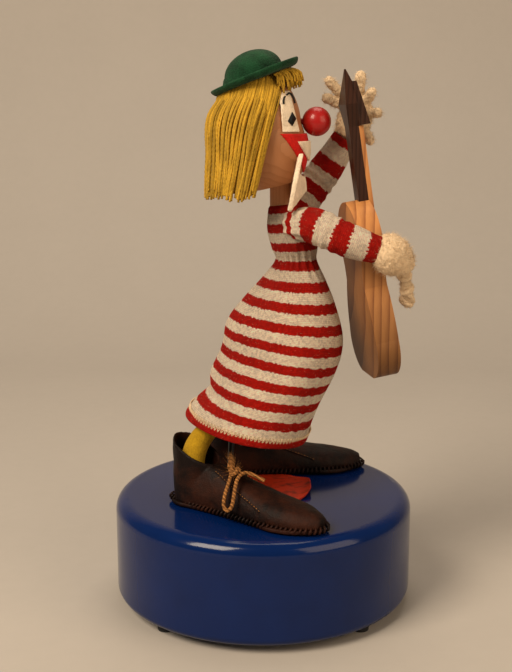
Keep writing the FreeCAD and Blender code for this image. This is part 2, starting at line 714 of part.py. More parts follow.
def body_stuffing():
    """The stuffed body inside the knit, with a bore for the sleeve and a pocket for the rod's cap."""
    filling = body_form(KNIT_THICKNESS + SOFT_GAP)
    filling = filling.common(block(-90, 90, -90, 90, HIP_LOW + HIP_THICKNESS + SOFT_GAP, FILLING_TOP))
    filling = filling.cut(rod_piece(SLEEVE_RADIUS + SEAT, HIP_LOW, SLEEVE_LENGTH + 2))
    filling = filling.cut(rod_piece(COLLAR_RADIUS + 0.6, CAP_LOW - 0.4, CAP_HEIGHT + 1.2))
    return filling.cut(rod(NECK_RADIUS + SEAT, NECK_LOW, HEAD_SEAT.z, NECK_X))


NECK_LOW = 189.0
NECK_SOCKET = 6.0
FILLING_TOP = 196.0


def neck():
    return rod(NECK_RADIUS, NECK_LOW, HEAD_SEAT.z + NECK_SOCKET, NECK_X)


def leaned(shape, lean, seat):
    """Lean a shape made along Z forwards by an angle and move it to its seat."""
    shape.rotate(V(0, 0, 0), ACROSS, lean)
    shape.translate(seat)
    return shape


def head_form(grow):
    """The turned egg of the head, grown by a thickness."""
    wide, tall = HEAD_RADIUS + grow, HEAD_LENGTH + grow
    belly = HEAD_LENGTH * 0.45
    shoulder = HEAD_LENGTH * 0.92
    crown = HEAD_RADIUS * 0.58 + grow
    face = profile(
        line(V(0, 0, -grow), V(CHIN_RADIUS, 0, -grow)),
        arc(V(CHIN_RADIUS, 0, -grow), V(wide * 0.895, 0, belly * 0.33), V(wide, 0, belly)),
        arc(V(wide, 0, belly), V(wide * 0.91, 0, (belly + shoulder) * 0.55), V(crown, 0, shoulder)),
        dome(crown, shoulder, tall),
        line(V(0, 0, tall), V(0, 0, -grow)),
    )
    return leaned(turned(face), HEAD_LEAN, HEAD_SEAT)


NOSE_CENTRE = V(25.6, 0, 239.4)


def head():
    ball = head_form(0)
    ball = ball.cut(rod(NECK_RADIUS + SEAT, HEAD_SEAT.z - 9, HEAD_SEAT.z + NECK_SOCKET, NECK_X))
    return ball.cut(bar(NOSE_PEG + SEAT, NOSE_CENTRE - FRONT * 14, NOSE_CENTRE))


def nose():
    """A round bead on a peg."""
    bead = Part.makeSphere(NOSE_RADIUS, NOSE_CENTRE).cut(head_form(SEAT))
    return bead.fuse(bar(NOSE_PEG, NOSE_CENTRE - FRONT * 13.5, NOSE_CENTRE))


def felt_on_head(prism, lift):
    """A felt shape wrapped on the head, inside a prism, lifted by what lies under it."""
    return head_form(lift + FELT).cut(head_form(lift)).common(prism)


def eye_patches():
    """The pale felt beside the nose, one on each cheek."""
    face = profile(
        line(V(9.0, 0, 234.6), V(17.2, 0, 234.6)),
        line(V(17.2, 0, 234.6), V(12.5, 0, 253.5)),
        arc(V(12.5, 0, 253.5), V(9.0, 0, 253.0), V(8.0, 0, 247.0)),
        line(V(8.0, 0, 247.0), V(9.0, 0, 234.6)),
    )
    patches = []
    for side in (-1, 1):
        prism = face.extrude(V(0, side * 40, 0))
        patches.append(felt_on_head(prism, SEAT))
    return Part.makeCompound(patches)


def mouth_outline(inset):
    """The wide mouth seen from the front, drawn in by an inset."""
    wide = 18.0 - inset
    top = 233.8 - inset
    low = 215.0 + 1.6 * inset
    return profile(
        line(V(0, -wide, top), V(0, wide, top)),
        arc(V(0, wide, top), V(0, wide * 0.62, (top + 2 * low) / 3), V(0, 0, low)),
        arc(V(0, 0, low), V(0, -wide * 0.62, (top + 2 * low) / 3), V(0, -wide, top)),
    )


def mouth_red():
    return felt_on_head(mouth_outline(0).extrude(V(60, 0, 0)), SEAT)


def mouth_white():
    return felt_on_head(mouth_outline(3.5).extrude(V(60, 0, 0)), 2 * SEAT + FELT)


HAIR_TOP = 256.3
HAIR_LOW = 203.0
HAIR_PARTING = 246.0


def hair_form(shrink):
    """The bell of hair that hangs from under the hat."""
    return swelled(
        [
            (V(-6.0, 0, HAIR_TOP), V(-0.38, 0, 1), 18.0 - shrink, 19.0 - shrink),
            (V(-6.0, 0, 240.0), V(-0.12, 0, 1), 22.0 - shrink, 24.5 - shrink),
            (V(-6.5, 0, 222.0), V(0, 0, 1), 21.5 - shrink, 25.5 - shrink),
            (V(-8.0, 0, HAIR_LOW), V(0.05, 0, 1), 20.5 - shrink, 25.0 - shrink),
        ]
    )


def hair():
    """Straight yarn hair: a bell, open at the face, round the head."""
    bell = hair_form(0).cut(head_form(FELT + SEAT + SOFT_GAP))
    bell = bell.cut(hair_form(HAIR_THICKNESS).cut(block(-90, 90, -90, 90, HAIR_PARTING, HAT_SEAT.z + 40)))
    face_cut = outline([V(16, -60, 270), V(60, -60, 270), V(60, -60, 190), V(-4, -60, 190)])
    return bell.cut(face_cut.extrude(V(0, 120, 0)))


def fringe():
    """The curly puff of yarn over the forehead."""
    puff = swelled(
        [
            (V(12.0, -12.0, 258.5), V(-0.3, 1, 0), 3.0, 3.0),
            (V(14.5, -5.0, 259.5), V(-0.1, 1, 0), 4.8, 4.8),
            (V(14.5, 5.0, 259.5), V(0.1, 1, 0), 4.8, 4.8),
            (V(12.0, 12.0, 258.5), V(0.3, 1, 0), 3.0, 3.0),
        ]
    )
    return puff.cut(head_form(FELT + SEAT + SOFT_GAP)).cut(hat_solid(SOFT_GAP)).cut(hair())


def hat_solid(grow):
    """The hat without its hollow, grown by a thickness."""
    wide, tall, brim = HAT_CROWN + grow, HAT_HEIGHT + grow, HAT_BRIM + grow
    face = profile(
        line(V(0, 0, -grow), V(brim - HAT_CURL, 0, -grow)),
        arc(
            V(brim - HAT_CURL, 0, -grow),
            V(brim - HAT_CURL * 0.29, 0, HAT_CURL * 0.29 - grow),
            V(brim, 0, HAT_CURL),
        ),
        line(V(brim, 0, HAT_CURL), V(brim - FELT - 2 * grow, 0, HAT_CURL)),
        line(V(brim - FELT - 2 * grow, 0, HAT_CURL), V(wide + HAT_CURL, 0, FELT + grow)),
        line(V(wide + HAT_CURL, 0, FELT + grow), V(wide, 0, FELT + grow)),
        line(V(wide, 0, FELT + grow), V(wide * 0.97, 0, tall * 0.4)),
        dome(wide * 0.97, tall * 0.4, tall),
        line(V(0, 0, tall), V(0, 0, -grow)),
    )
    return leaned(turned(face), HAT_LEAN, HAT_SEAT)


def hat():
    """A felt bowler: a domed crown and a brim that curls up."""
    hollow_wide = HAT_CROWN - FELT
    hollow_tall = HAT_HEIGHT - FELT
    face = profile(
        line(V(0, 0, -1), V(hollow_wide, 0, -1)),
        line(V(hollow_wide, 0, -1), V(hollow_wide * 0.97, 0, hollow_tall * 0.4)),
        dome(hollow_wide * 0.97, hollow_tall * 0.4, hollow_tall),
        line(V(0, 0, hollow_tall), V(0, 0, -1)),
    )
    hollow = leaned(turned(face), HAT_LEAN, HAT_SEAT)
    return hat_solid(0).cut(hollow).cut(head_form(SOFT_GAP)).cut(hair())


def bow_tie():
    """A felt bow that stands in front of the neck, wide at its ends and narrow at its knot."""
    half, tall, knot = TIE_WIDTH / 2, TIE_HEIGHT / 2, TIE_HEIGHT * 0.2
    face = profile(
        line(V(0, -half, -tall), V(0, 0, -knot)),
        line(V(0, 0, -knot), V(0, half, -tall)),
        arc(V(0, half, -tall), V(0, half + 2, 0), V(0, half, tall)),
        line(V(0, half, tall), V(0, 0, knot)),
        line(V(0, 0, knot), V(0, -half, tall)),
        arc(V(0, -half, tall), V(0, -half - 2, 0), V(0, -half, -tall)),
    )
    bow = face.extrude(V(TIE_THICKNESS, 0, 0))
    return leaned(bow, TIE_LEAN, TIE_SEAT).cut(mouth_block())


def mouth_block():
    """The head with all its felt, as room for what stands before it."""
    return head_form(2 * FELT + 3 * SEAT + SOFT_GAP)


def sleeve_form(points, radii):
    """A sleeve through rings on a bent line."""
    stations = []
    last = len(points) - 1
    for number, (point, radius) in enumerate(zip(points, radii)):
        along = points[min(number + 1, last)] - points[max(number - 1, 0)]
        stations.append((point, along, radius, radius))
    return swelled(stations)


NEAR_ARM = (V(13, -9, 191), V(24, -17, 191), V(39, -22, 185), V(54, -22, 180))
FAR_ARM = (V(13, 9, 192), V(22, 16, 203), V(32, 18, 217), V(41, 16, 231))
ARM_RADII = (7.5, 8.8, 8.4, 7.0)


def near_sleeve():
    return sleeve_form(NEAR_ARM, ARM_RADII).cut(body_form(0)).cut(guitar_envelope()).cut(bow_tie())


def far_sleeve():
    arm = sleeve_form(FAR_ARM, ARM_RADII).cut(body_form(0)).cut(guitar_envelope())
    return arm.cut(bow_tie()).cut(rod(NECK_RADIUS + SOFT_GAP, NECK_LOW, HEAD_SEAT.z, NECK_X))


def held(shape):
    """Move a shape from the instrument's own frame to the clown's arms."""
    shape.rotate(V(0, 0, 0), ACROSS, GUITAR_LEAN)
    shape.rotate(V(0, 0, 0), UP, GUITAR_TURN)
    shape.translate(GUITAR_SEAT)
    return shape


def guitar_outline(grow):
    """The instrument's body seen from the front, one half mirrored on the other."""
    low, waist, up = GUITAR_LOWER + grow, GUITAR_WAIST + grow, GUITAR_UPPER + grow
    tall = GUITAR_LENGTH + grow
    edges = []
    for side in (1, -1):
        spots = [
            V(0, side * low * 0.42, -grow),
            V(0, side * low * 0.9, GUITAR_LENGTH * 0.08),
            V(0, side * low, GUITAR_LENGTH * 0.23),
            V(0, side * low * 0.87, GUITAR_LENGTH * 0.41),
            V(0, side * waist, GUITAR_LENGTH * 0.53),
            V(0, side * waist, GUITAR_LENGTH * 0.6),
            V(0, side * up, GUITAR_LENGTH * 0.7),
            V(0, side * up * 0.8, GUITAR_LENGTH * 0.92),
            V(0, 0, tall),
        ]
        for start in range(0, 8, 2):
            edges.append(arc(*spots[start : start + 3]))
    edges.append(line(V(0, -low * 0.42, -grow), V(0, low * 0.42, -grow)))
    return Part.Face(Part.Wire(Part.__sortEdges__(edges)))


def guitar_slab(grow):
    face = guitar_outline(grow)
    face.translate(V(-GUITAR_THICKNESS / 2 - grow, 0, 0))
    return face.extrude(V(GUITAR_THICKNESS + 2 * grow, 0, 0))


def guitar_body():
    return held(guitar_slab(0))


NECK_BACK = GUITAR_THICKNESS / 2 - GUITAR_NECK_DEPTH
NECK_END = GUITAR_LENGTH + GUITAR_NECK_LENGTH
HEADSTOCK_LENGTH = 27.0
HEADSTOCK_HALF = 6.5
HEADSTOCK_SWELL = 0.8
PLATE_DROP = 6.0
PLATE_THICKNESS_LOW = 5.6
PLATE_THICKNESS_TOP = 1.5


def guitar_neck_form(grow):
    """The neck and its head, drawn in to a point both from the front and from the side."""
    half = GUITAR_NECK_WIDTH / 2 + grow
    wide = HEADSTOCK_HALF + grow
    back, front = NECK_BACK - grow, GUITAR_THICKNESS / 2 + grow
    low, tip = GUITAR_LENGTH - 2, NECK_END + 2 * grow
    start = NECK_END - HEADSTOCK_LENGTH - grow
    swell = NECK_END - HEADSTOCK_LENGTH * 0.6
    from_front = outline(
        [
            V(back - HEADSTOCK_SWELL, -half, low),
            V(back - HEADSTOCK_SWELL, half, low),
            V(back - HEADSTOCK_SWELL, half, start),
            V(back - HEADSTOCK_SWELL, wide, swell),
            V(back - HEADSTOCK_SWELL, 0, tip),
            V(back - HEADSTOCK_SWELL, -wide, swell),
            V(back - HEADSTOCK_SWELL, -half, start),
        ]
    )
    from_side = outline(
        [
            V(back, -wide, low),
            V(front, -wide, low),
            V(front, -wide, NECK_END - PLATE_DROP),
            V((back + front) / 2 + HEADSTOCK_SWELL, -wide, tip),
            V((back + front) / 2, -wide, tip),
            V(back - HEADSTOCK_SWELL, -wide, swell),
            V(back, -wide, start),
        ]
    )
    form = from_front.extrude(V(front - back + HEADSTOCK_SWELL, 0, 0))
    return form.common(from_side.extrude(V(0, 2 * wide, 0))).cut(guitar_slab(0))


def guitar_neck():
    return held(guitar_neck_form(0))


def fingerboard_form(grow):
    half = GUITAR_NECK_WIDTH / 2 + grow
    front = GUITAR_THICKNESS / 2
    low = GUITAR_LENGTH - FINGERBOARD_OVERLAP - grow
    high = NECK_END - HEADSTOCK_LENGTH
    return block(front, front + FINGERBOARD_THICKNESS + grow, -half, half, low, high)


def fingerboard():
    return held(fingerboard_form(0))


def head_plate_form(grow):
    """A wedge on the front of the instrument's head, thin at the tip and thick at its foot."""
    front = GUITAR_THICKNESS / 2
    low = NECK_END - HEADSTOCK_LENGTH + SOFT_GAP
    half = GUITAR_NECK_WIDTH / 2 + 1.0 + grow
    face = outline(
        [
            V(front, -half, low - grow),
            V(front + PLATE_THICKNESS_LOW + grow, -half, low - grow),
            V(front + PLATE_THICKNESS_TOP + grow, -half, NECK_END - PLATE_DROP + grow),
            V(front, -half, NECK_END - PLATE_DROP + grow),
        ]
    )
    return face.extrude(V(0, 2 * half, 0))


def head_plate():
    return held(head_plate_form(0))


def bridge():
    front = GUITAR_THICKNESS / 2
    return held(block(front, front + 3.2, -8, 8, 26, 34))


def guitar_envelope():
    """The whole instrument grown by a soft gap, as room for the hands that hold it."""
    forms = [guitar_slab(SOFT_GAP), guitar_neck_form(SOFT_GAP), fingerboard_form(SOFT_GAP)]
    return held(forms[0].multiFuse(forms[1:] + [head_plate_form(SOFT_GAP)]))


def near_hand():
    """A fluffy glove on the instrument's near edge with one finger on its face."""
    palm = swelled(
        [
            (V(53.5, -22.0, 180.2), V(1, 0, -0.3), 6.5, 6.5),
            (V(58.0, -22.5, 179.0), V(1, 0, -0.4), 9.0, 8.5),
            (V(63.5, -22.0, 175.5), V(1, 0, -0.7), 8.5, 8.0),
            (V(67.0, -20.5, 170.0), V(0.5, 0.2, -1), 4.5, 5.0),
        ]
    )
    finger = capsule(V(66.5, -20, 170), V(69.3, -13, 160), FINGER_RADIUS)
    tip = capsule(V(69.3, -13, 160), V(70.2, -9.0, 152.5), FINGER_RADIUS)
    return palm.multiFuse([finger, tip]).cut(guitar_envelope()).cut(near_sleeve())


def far_hand():
    """A glove round the instrument's neck, fingers spread behind its head."""
    palm = swelled(
        [
            (V(41.5, 16.0, 231.5), V(0.5, 0, 1), 6.5, 6.5),
            (V(44.5, 14.5, 239.0), V(0.3, -0.1, 1), 8.5, 6.5),
            (V(46.0, 13.5, 246.0), V(0.1, -0.1, 1), 7.5, 5.5),
            (V(46.0, 13.0, 251.0), V(0, 0, 1), 4.5, 4.0),
        ]
    )
    fingers = []
    for knuckle, tip in (
        (V(42, 13, 248), V(32, 9, 258.5)),
        (V(41, 13, 246), V(31, 10, 250.5)),
        (V(47, 13, 250), V(47, 9, 261)),
        (V(49, 13, 247), V(52.5, 8, 253.0)),
        (V(50, 13, 243), V(55.5, 8, 243.5)),
        (V(48, 13, 238), V(52.0, 8, 230.5)),
    ):
        fingers.append(capsule(knuckle, tip, FINGER_RADIUS))
    return palm.multiFuse(fingers).cut(guitar_envelope()).cut(far_sleeve())


def booted(shape, heel, turn):
    """Stand a boot's shape on the painted disc, pointing out by its turn."""
    shape.rotate(V(0, 0, 0), UP, turn)
    shape.translate(V(heel[0], heel[1], DISC_TOP))
    return shape


def boot_screw_place(heel, turn):
    """Where a screw comes up through the base into a boot."""
    along = BOOT_LENGTH * 0.6
    return (heel[0] + along * cos(radians(turn)), heel[1] + along * sin(radians(turn)))


BOOT_SCREWS = [boot_screw_place(NEAR_HEEL, NEAR_TURN), boot_screw_place(FAR_HEEL, FAR_TURN)]


def boot_sole():
    """A flat leather sole: round heel, narrow waist, wide ball and round toe."""
    ball = BOOT_LENGTH * 0.66
    edges = [arc(V(HEEL_RADIUS, -HEEL_RADIUS, 0), V(0, 0, 0), V(HEEL_RADIUS, HEEL_RADIUS, 0))]
    for side in (1, -1):
        heel, waist = V(HEEL_RADIUS, side * HEEL_RADIUS, 0), V(BOOT_LENGTH * 0.41, side * HEEL_RADIUS * 0.97, 0)
        wide = V(ball, side * BOOT_HALF_WIDTH, 0)
        toe = V(BOOT_LENGTH * 0.9, side * BOOT_HALF_WIDTH * 0.77, 0)
        edges.append(arc(heel, waist, wide))
        edges.append(arc(wide, toe, V(BOOT_LENGTH, 0, 0)))
    face = Part.Face(Part.Wire(Part.__sortEdges__(edges)))
    sole = face.extrude(V(0, 0, SOLE_THICKNESS))
    hole = rod(SCREW_RADIUS + SEAT, -1, SOLE_THICKNESS + 1, BOOT_LENGTH * 0.6)
    return sole.cut(hole)


def foot_section(along, half, tall):
    """An arched section across the boot's foot."""
    low = SOLE_THICKNESS
    left, right = V(along, -half, low), V(along, half, low)
    shoulder = 0.62 * half
    return Part.Wire(
        [
            line(left, right),
            arc(right, V(along, half * 0.96, low + 0.5 * tall), V(along, shoulder, low + 0.88 * tall)),
            arc(
                V(along, shoulder, low + 0.88 * tall),
                V(along, 0, low + tall),
                V(along, -shoulder, low + 0.88 * tall),
            ),
            arc(V(along, -shoulder, low + 0.88 * tall), V(along, -half * 0.96, low + 0.5 * tall), left),
        ]
    )


# The lace's route in the boot's own frame, for a boot whose outer side is -Y.
LACE_ROUTE = (
    (31.0, 1.5, 14.5),
    (32.2, 1.3, 23.0),
    (34.8, -0.2, 25.0),
    (37.5, -3.5, 22.8),
    (39.5, -8.0, 18.5),
    (40.2, -13.0, 13.0),
    (41.0, -15.6, 7.5),
    (44.0, -16.2, 5.6),
    (46.2, -15.4, 8.5),
    (45.5, -13.0, 13.5),
    (43.0, -7.5, 19.5),
    (43.5, -2.0, 21.5),
    (47.5, 1.0, 19.5),
    (52.0, 2.5, 17.3),
)


def lace_points(side):
    """The lace's route on the boot of one side."""
    return [V(u, -side * v, w) for u, v, w in LACE_ROUTE]


# The boot's foot: share of its length, share of its half width, height.
FOOT_STATIONS = (
    (0.17, 0.75, 18.0),
    (0.34, 0.78, 19.0),
    (0.5, 0.85, 14.5),
    (0.69, 0.92, 10.5),
    (0.86, 0.78, 8.0),
    (0.98, 0.30, 4.5),
)


def boot_upper(side):
    """Soft leather: an arched foot with a lace hole and an upright shaft with a sloped collar."""
    sections = [
        foot_section(BOOT_LENGTH * share, BOOT_HALF_WIDTH * wide, tall) for share, wide, tall in FOOT_STATIONS
    ]
    foot = Part.makeLoft(sections, True, False, False, 3)
    middle = HEEL_RADIUS + 2.0

    def shaft(shrink, low):
        return swelled(
            [
                (V(middle, 0, low), UP, SHAFT_HALF_LENGTH - 1.2 - shrink, SHAFT_HALF_WIDTH - 0.3 - shrink),
                (V(middle, 0, 16.0), UP, SHAFT_HALF_LENGTH - 0.4 - shrink, SHAFT_HALF_WIDTH - 0.6 - shrink),
                (V(middle + 0.5, 0, COLLAR_BACK), UP, SHAFT_HALF_LENGTH - shrink, SHAFT_HALF_WIDTH - shrink),
            ]
        )

    boot = foot.fuse(shaft(0, SOLE_THICKNESS)).removeSplitter()
    boot = boot.cut(shaft(LEATHER, SOLE_THICKNESS + 8).common(block(-9, 99, -50, 50, LEG_LOW - 0.5, 99)))
    front = middle + SHAFT_HALF_LENGTH + 1.0
    slope = outline(
        [
            V(0, -50, COLLAR_BACK),
            V(front, -50, COLLAR_BACK - front * COLLAR_SLOPE),
            V(front, -50, 99),
            V(0, -50, 99),
        ]
    )
    boot = boot.cut(slope.extrude(V(0, 100, 0)))
    hole_bottom, hole_top = lace_points(side)[:2]
    boot = boot.cut(bar(LACE_RADIUS + SEAT, hole_bottom, hole_top))
    return boot.cut(rod(SCREW_RADIUS + SEAT, 0, SCREW_REACH + 0.5, BOOT_LENGTH * 0.6))


SCREW_REACH = 6.0
LEG_LOW = 12.0


def boot_screws():
    """Screws from inside the base up into the boots."""
    return screws(BOOT_SCREWS, CAVITY_TOP, DISC_TOP + SCREW_REACH)


NEAR_LEG = (V(-34.5, -18.5, DISC_TOP + LEG_LOW), V(-33.8, -17.6, 80.0), V(-24.5, -12.0, 92.0))
FAR_LEG = (V(-21.5, 27.5, DISC_TOP + LEG_LOW), V(-21.0, 26.4, 82.0), V(-17.0, 20.0, 92.5))


def leg(points):
    """A felt leg that rises from the boot and leans in under the hem."""
    low, bend, top = points
    knee = (LEG_RADIUS + LEG_TOP_RADIUS) / 2
    return swelled(
        [
            (low, UP, LEG_RADIUS, LEG_RADIUS),
            (bend, (UP + (top - bend).normalize()), knee, knee),
            (top, (top - bend) + UP * 6, LEG_TOP_RADIUS, LEG_TOP_RADIUS),
        ]
    )


def tube_along(points, radius):
    """A round tube on straight runs joined by arcs as large as the runs allow."""
    edges = []
    radii = []
    start = points[0]
    for before, corner, after in zip(points, points[1:], points[2:]):
        run_in, run_out = corner - before, after - corner
        turn = run_in.getAngle(run_out)
        reach = 0.45 * min(run_in.Length, run_out.Length)
        bend = reach / tan(turn / 2)
        radii.append(bend)
        to_corner, from_corner = V(run_in).normalize(), V(run_out).normalize()
        enter, leave = corner - to_corner * reach, corner + from_corner * reach
        inward = (from_corner - to_corner).normalize()
        middle = corner + inward * (bend / cos(turn / 2) - bend)
        edges += [line(start, enter), arc(enter, middle, leave)]
        start = leave
    edges.append(line(start, points[-1]))
    path = Part.Wire(edges)
    section = Part.Wire(Part.Circle(points[0], points[1] - points[0], radius).toShape())
    solid = path.makePipeShell([section], True, False)
    share = solid.Volume / (pi * radius**2 * path.Length)
    print("lace length", round(path.Length, 1), "volume share", round(share, 4), "radii", [round(r, 1) for r in radii])
    return solid


def lace(side):
    """The jute lace: out of its hole, down in a loop and back to a short tail."""
    return tube_along(lace_points(side), LACE_RADIUS)


PARTS = {
    "base_shell": base_shell,
    "base_plate": base_plate,
    "plate_screws": lambda: screws(PLATE_SCREWS, PLATE_BOTTOM, LEDGE + SCREW_BITE),
    "base_feet": feet,
    "cover_disc": cover_disc,
    "top_bush": top_bush,
    "bedplate": bedplate,
    "bedplate_screws": lambda: screws(BED_SCREWS, PLATE_BOTTOM, BED_TOP),
    "ratchet_wheel": ratchet_wheel,
    "click": click,
    "winding_arbor": winding_arbor,
    "winding_key": winding_key,
    "spring_barrel": spring_barrel,
    "mainspring": mainspring,
    "crown_wheel": crown_wheel,
    "cylinder_pinion": cylinder_pinion,
    "tune_cylinder": tune_cylinder,
    "cylinder_wheel": cylinder_wheel,
    "governor_pinion": governor_pinion,
    "governor_housing": governor_housing,
    "comb": comb,
    "comb_screws": comb_screws,
    "drive_shaft": drive_shaft,
    "crank_web": crank_web,
    "sway_rod": sway_rod,
    "thrust_collar": thrust_collar,
    "rod_cap": rod_cap,
    "sway_sleeve": sway_sleeve,
    "hip_board": hip_board,
    "body_stuffing": body_stuffing,
    "sweater": sweater,
    "neck": neck,
    "head": head,
    "nose": nose,
    "eye_patches": eye_patches,
    "mouth_red": mouth_red,
    "mouth_white": mouth_white,
    "hair": hair,
    "fringe": fringe,
    "hat": hat,
    "bow_tie": bow_tie,
    "near_sleeve": near_sleeve,
    "far_sleeve": far_sleeve,
    "near_hand": near_hand,
    "far_hand": far_hand,
    "guitar_body": guitar_body,
    "guitar_neck": guitar_neck,
    "fingerboard": fingerboard,
    "head_plate": head_plate,
    "bridge": bridge,
    "boot_screws": boot_screws,
    "near_leg": lambda: leg(NEAR_LEG),
    "far_leg": lambda: leg(FAR_LEG),
    "near_boot_sole": lambda: booted(boot_sole(), NEAR_HEEL, NEAR_TURN),
    "far_boot_sole": lambda: booted(boot_sole(), FAR_HEEL, FAR_TURN),
    "near_boot_upper": lambda: booted(boot_upper(-1), NEAR_HEEL, NEAR_TURN),
    "far_boot_upper": lambda: booted(boot_upper(1), FAR_HEEL, FAR_TURN),
    "near_lace": lambda: booted(lace(-1), NEAR_HEEL, NEAR_TURN),
    "far_lace": lambda: booted(lace(1), FAR_HEEL, FAR_TURN),
}

os.makedirs("parts", exist_ok=True)
for name, make in PARTS.items():
    shape = make()
    print(name, len(shape.Solids), shape.isValid(), round(shape.Volume, 1))
    shape.exportStep("parts/" + name + ".step")
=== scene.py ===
from functools import cache
import json
from math import acos, cos, exp, pi, radians, sin, tan
import random

import bmesh
import bpy
from mathutils import Matrix, Vector
from mathutils.bvhtree import BVHTree


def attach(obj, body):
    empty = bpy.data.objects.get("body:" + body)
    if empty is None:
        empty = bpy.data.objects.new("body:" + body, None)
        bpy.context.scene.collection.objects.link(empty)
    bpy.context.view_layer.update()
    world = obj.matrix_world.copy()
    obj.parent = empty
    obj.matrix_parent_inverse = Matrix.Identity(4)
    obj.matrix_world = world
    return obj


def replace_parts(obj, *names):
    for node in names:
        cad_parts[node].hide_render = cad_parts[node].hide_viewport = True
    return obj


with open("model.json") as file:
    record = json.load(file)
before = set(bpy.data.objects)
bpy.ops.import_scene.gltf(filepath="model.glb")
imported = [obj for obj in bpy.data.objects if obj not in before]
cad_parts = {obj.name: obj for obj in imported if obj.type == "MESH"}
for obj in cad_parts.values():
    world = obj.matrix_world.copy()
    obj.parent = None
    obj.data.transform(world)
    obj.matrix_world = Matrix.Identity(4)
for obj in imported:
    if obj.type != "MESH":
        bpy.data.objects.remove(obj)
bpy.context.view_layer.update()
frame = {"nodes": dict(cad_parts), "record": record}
NODES = frame["nodes"]
MM = 0.001
CHANCE = random.Random(7)

# Sizes below are in millimetres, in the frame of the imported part.

# Knit: wales are counted round a piece, and a period is one red and one white stripe
COURSE = 0.8
BODY_WALES = 180
BODY_PERIOD = 9.45
SLEEVE_WALES = 48
SLEEVE_PERIOD = 15.8
RED_SHARE = 0.48
HEM_HEIGHT = 4.2
HEM_ROLL = 0.7
HEM_SLOPE = 0.45
HEM_LINING = (0.0, 3.0, 6.0)
HEM_LOOPS = 104
HEM_LOOP_RISE = 1.2
HEM_LOOP_DROP = 0.3
HEM_LOOP_INSET = 0.4
HEM_LOOP_SLOPE = 0.24
HEM_THREAD = 0.24
KNIT_THICKNESS = 1.3
KNIT_INSET = 0.7

# x, height, lean, half depth and half width of the knitted body
BODY_STATIONS = (
    (-8.5, 88.5, 12.0, 31.5, 37.0),
    (-2.0, 103.0, 12.0, 30.0, 36.0),
    (7.5, 122.0, 11.0, 30.0, 32.0),
    (11.4, 137.0, 9.0, 29.0, 30.0),
    (14.0, 152.0, 6.0, 23.0, 24.0),
    (15.6, 163.0, 3.0, 16.5, 18.0),
    (16.0, 172.5, 0.0, 11.0, 12.5),
    (15.0, 179.0, -3.0, 12.0, 14.0),
    (13.0, 189.0, -6.0, 12.0, 14.5),
    (10.0, 199.0, -8.0, 8.0, 9.0),
)
WAIST_HEIGHT = 171.5
WAIST_REACH = 8.0
WAIST_FOLDS = 21
WAIST_FOLD_DEPTH = 0.55
SAG_DEPTH = 0.22
SEAT_HEIGHT = 140.0
SEAT_REACH = 11.0
SEAT_SWELL = 2.2
TUCK_HEIGHT = 103.0
TUCK_REACH = 5.0
SEAT_TUCK = 3.6
NECK_RADIUS = 5.9

# Arms: x, y, height and radius along each sleeve, and distances from the shoulder
NEAR_ARM = ((13, -9, 191, 7.5), (24, -17, 191, 8.8), (39, -22, 185, 8.4), (54, -22, 180, 7.0))
FAR_ARM = ((13, 9, 192, 7.5), (22, 16, 203, 8.8), (32, 18, 217, 8.4), (41, 16, 231, 7.0))
SLEEVE_INSET = 0.3
SLEEVE_GAP = 0.35
SLEEVE_SINK = 3.0
SHOULDER_GATHER = 4.5
SHOULDER_REACH = 13.0
SHOULDER_FOLDS = 9
SHOULDER_FOLD_DEPTH = 0.6
ELBOW_DISTANCE = 24.0
ELBOW_REACH = 7.0
ELBOW_CREASE = 0.35

# Middle line of the near glove's finger, and the lumps of wool on it
FINGER_LINE = ((66.5, -20, 170), (69.3, -13, 160), (70.2, -9.0, 152.5))
FINGER_LUMPS = 9
LUMP_STEPS = 24
LUMP_TURNS = 1.3
LUMP_RISE = 0.9
LUMP_GAP = 1.9
LUMP_SINK = 3.4

# Wool fibres, as shares of their length: how deep they root, how far they bend and what they keep clear
FLUFF_ROOT = 0.15
FLUFF_BEND = 0.5
FLUFF_CLEAR = 1.5
TAPER = 0.9

# Hair: x, height, half depth and half width of the bell that the strands lie on
HAIR_STATIONS = (
    (-6.0, 256.3, 18.0, 19.0),
    (-6.0, 240.0, 22.0, 24.5),
    (-6.5, 222.0, 21.5, 25.5),
    (-8.0, 203.0, 20.5, 25.0),
)
YARN_RADIUS = 0.6
YARN_LAY = 2.4
YARN_TONES = (0.62, 1.15)
PLY_WAIST = 0.74
PLY_SWELL = 0.34
HAIR_TUCK = 3.5
HAIR_TUCK_REACH = 6.0
HAIR_FRONT = 9.4
HAIR_LOW = 203.5
HAIR_ENDS = (-2.0, 3.5)
HAIR_SPREAD = 0.3
HAIR_ROUGHNESS = 0.35
HAIR_BEND = (0.1, 0.4)
HAIR_DRIFT = 0.03
HEAD_SINK = 9.0
# Fringe: x and height of its roots at the temples, and how much more there is in the middle
FRINGE_TEMPLE = (4.0, 260.5)
FRINGE_MIDDLE = (7.0, 3.5)
FRINGE_STRANDS = 200
FRINGE_HALF_WIDTH = 15.0
FRINGE_STEPS = 14

# Hat
HAT_SEAT = Vector((-3.2, 0, 258.3))
HAT_LEAN = -21.7
HAT_BRIM = 22.6
HAT_CROWN = 14.3
HAT_HEIGHT = 14.5
CROWN_WALL = 0.28
BRIM_DROP = 0.8
HEAD_GAP = 0.3
FELT = 1.2

# Eyes: x and height of the painted corners, as seen from the side
EYE_DIAMOND = ((12.4, 243.6), (14.2, 240.6), (12.6, 236.9), (10.6, 239.6))
BROWS = (
    ((10.0, 250.9), (10.9, 251.9), (12.1, 251.4), (13.0, 249.7), (13.6, 247.4)),
    ((9.3, 250.4), (8.8, 249.6), (8.6, 248.4), (8.7, 247.0)),
)
BROW_HALF_WIDTH = 0.35
PAINT_LIFT = 0.35
PAINT_THICKNESS = 0.3

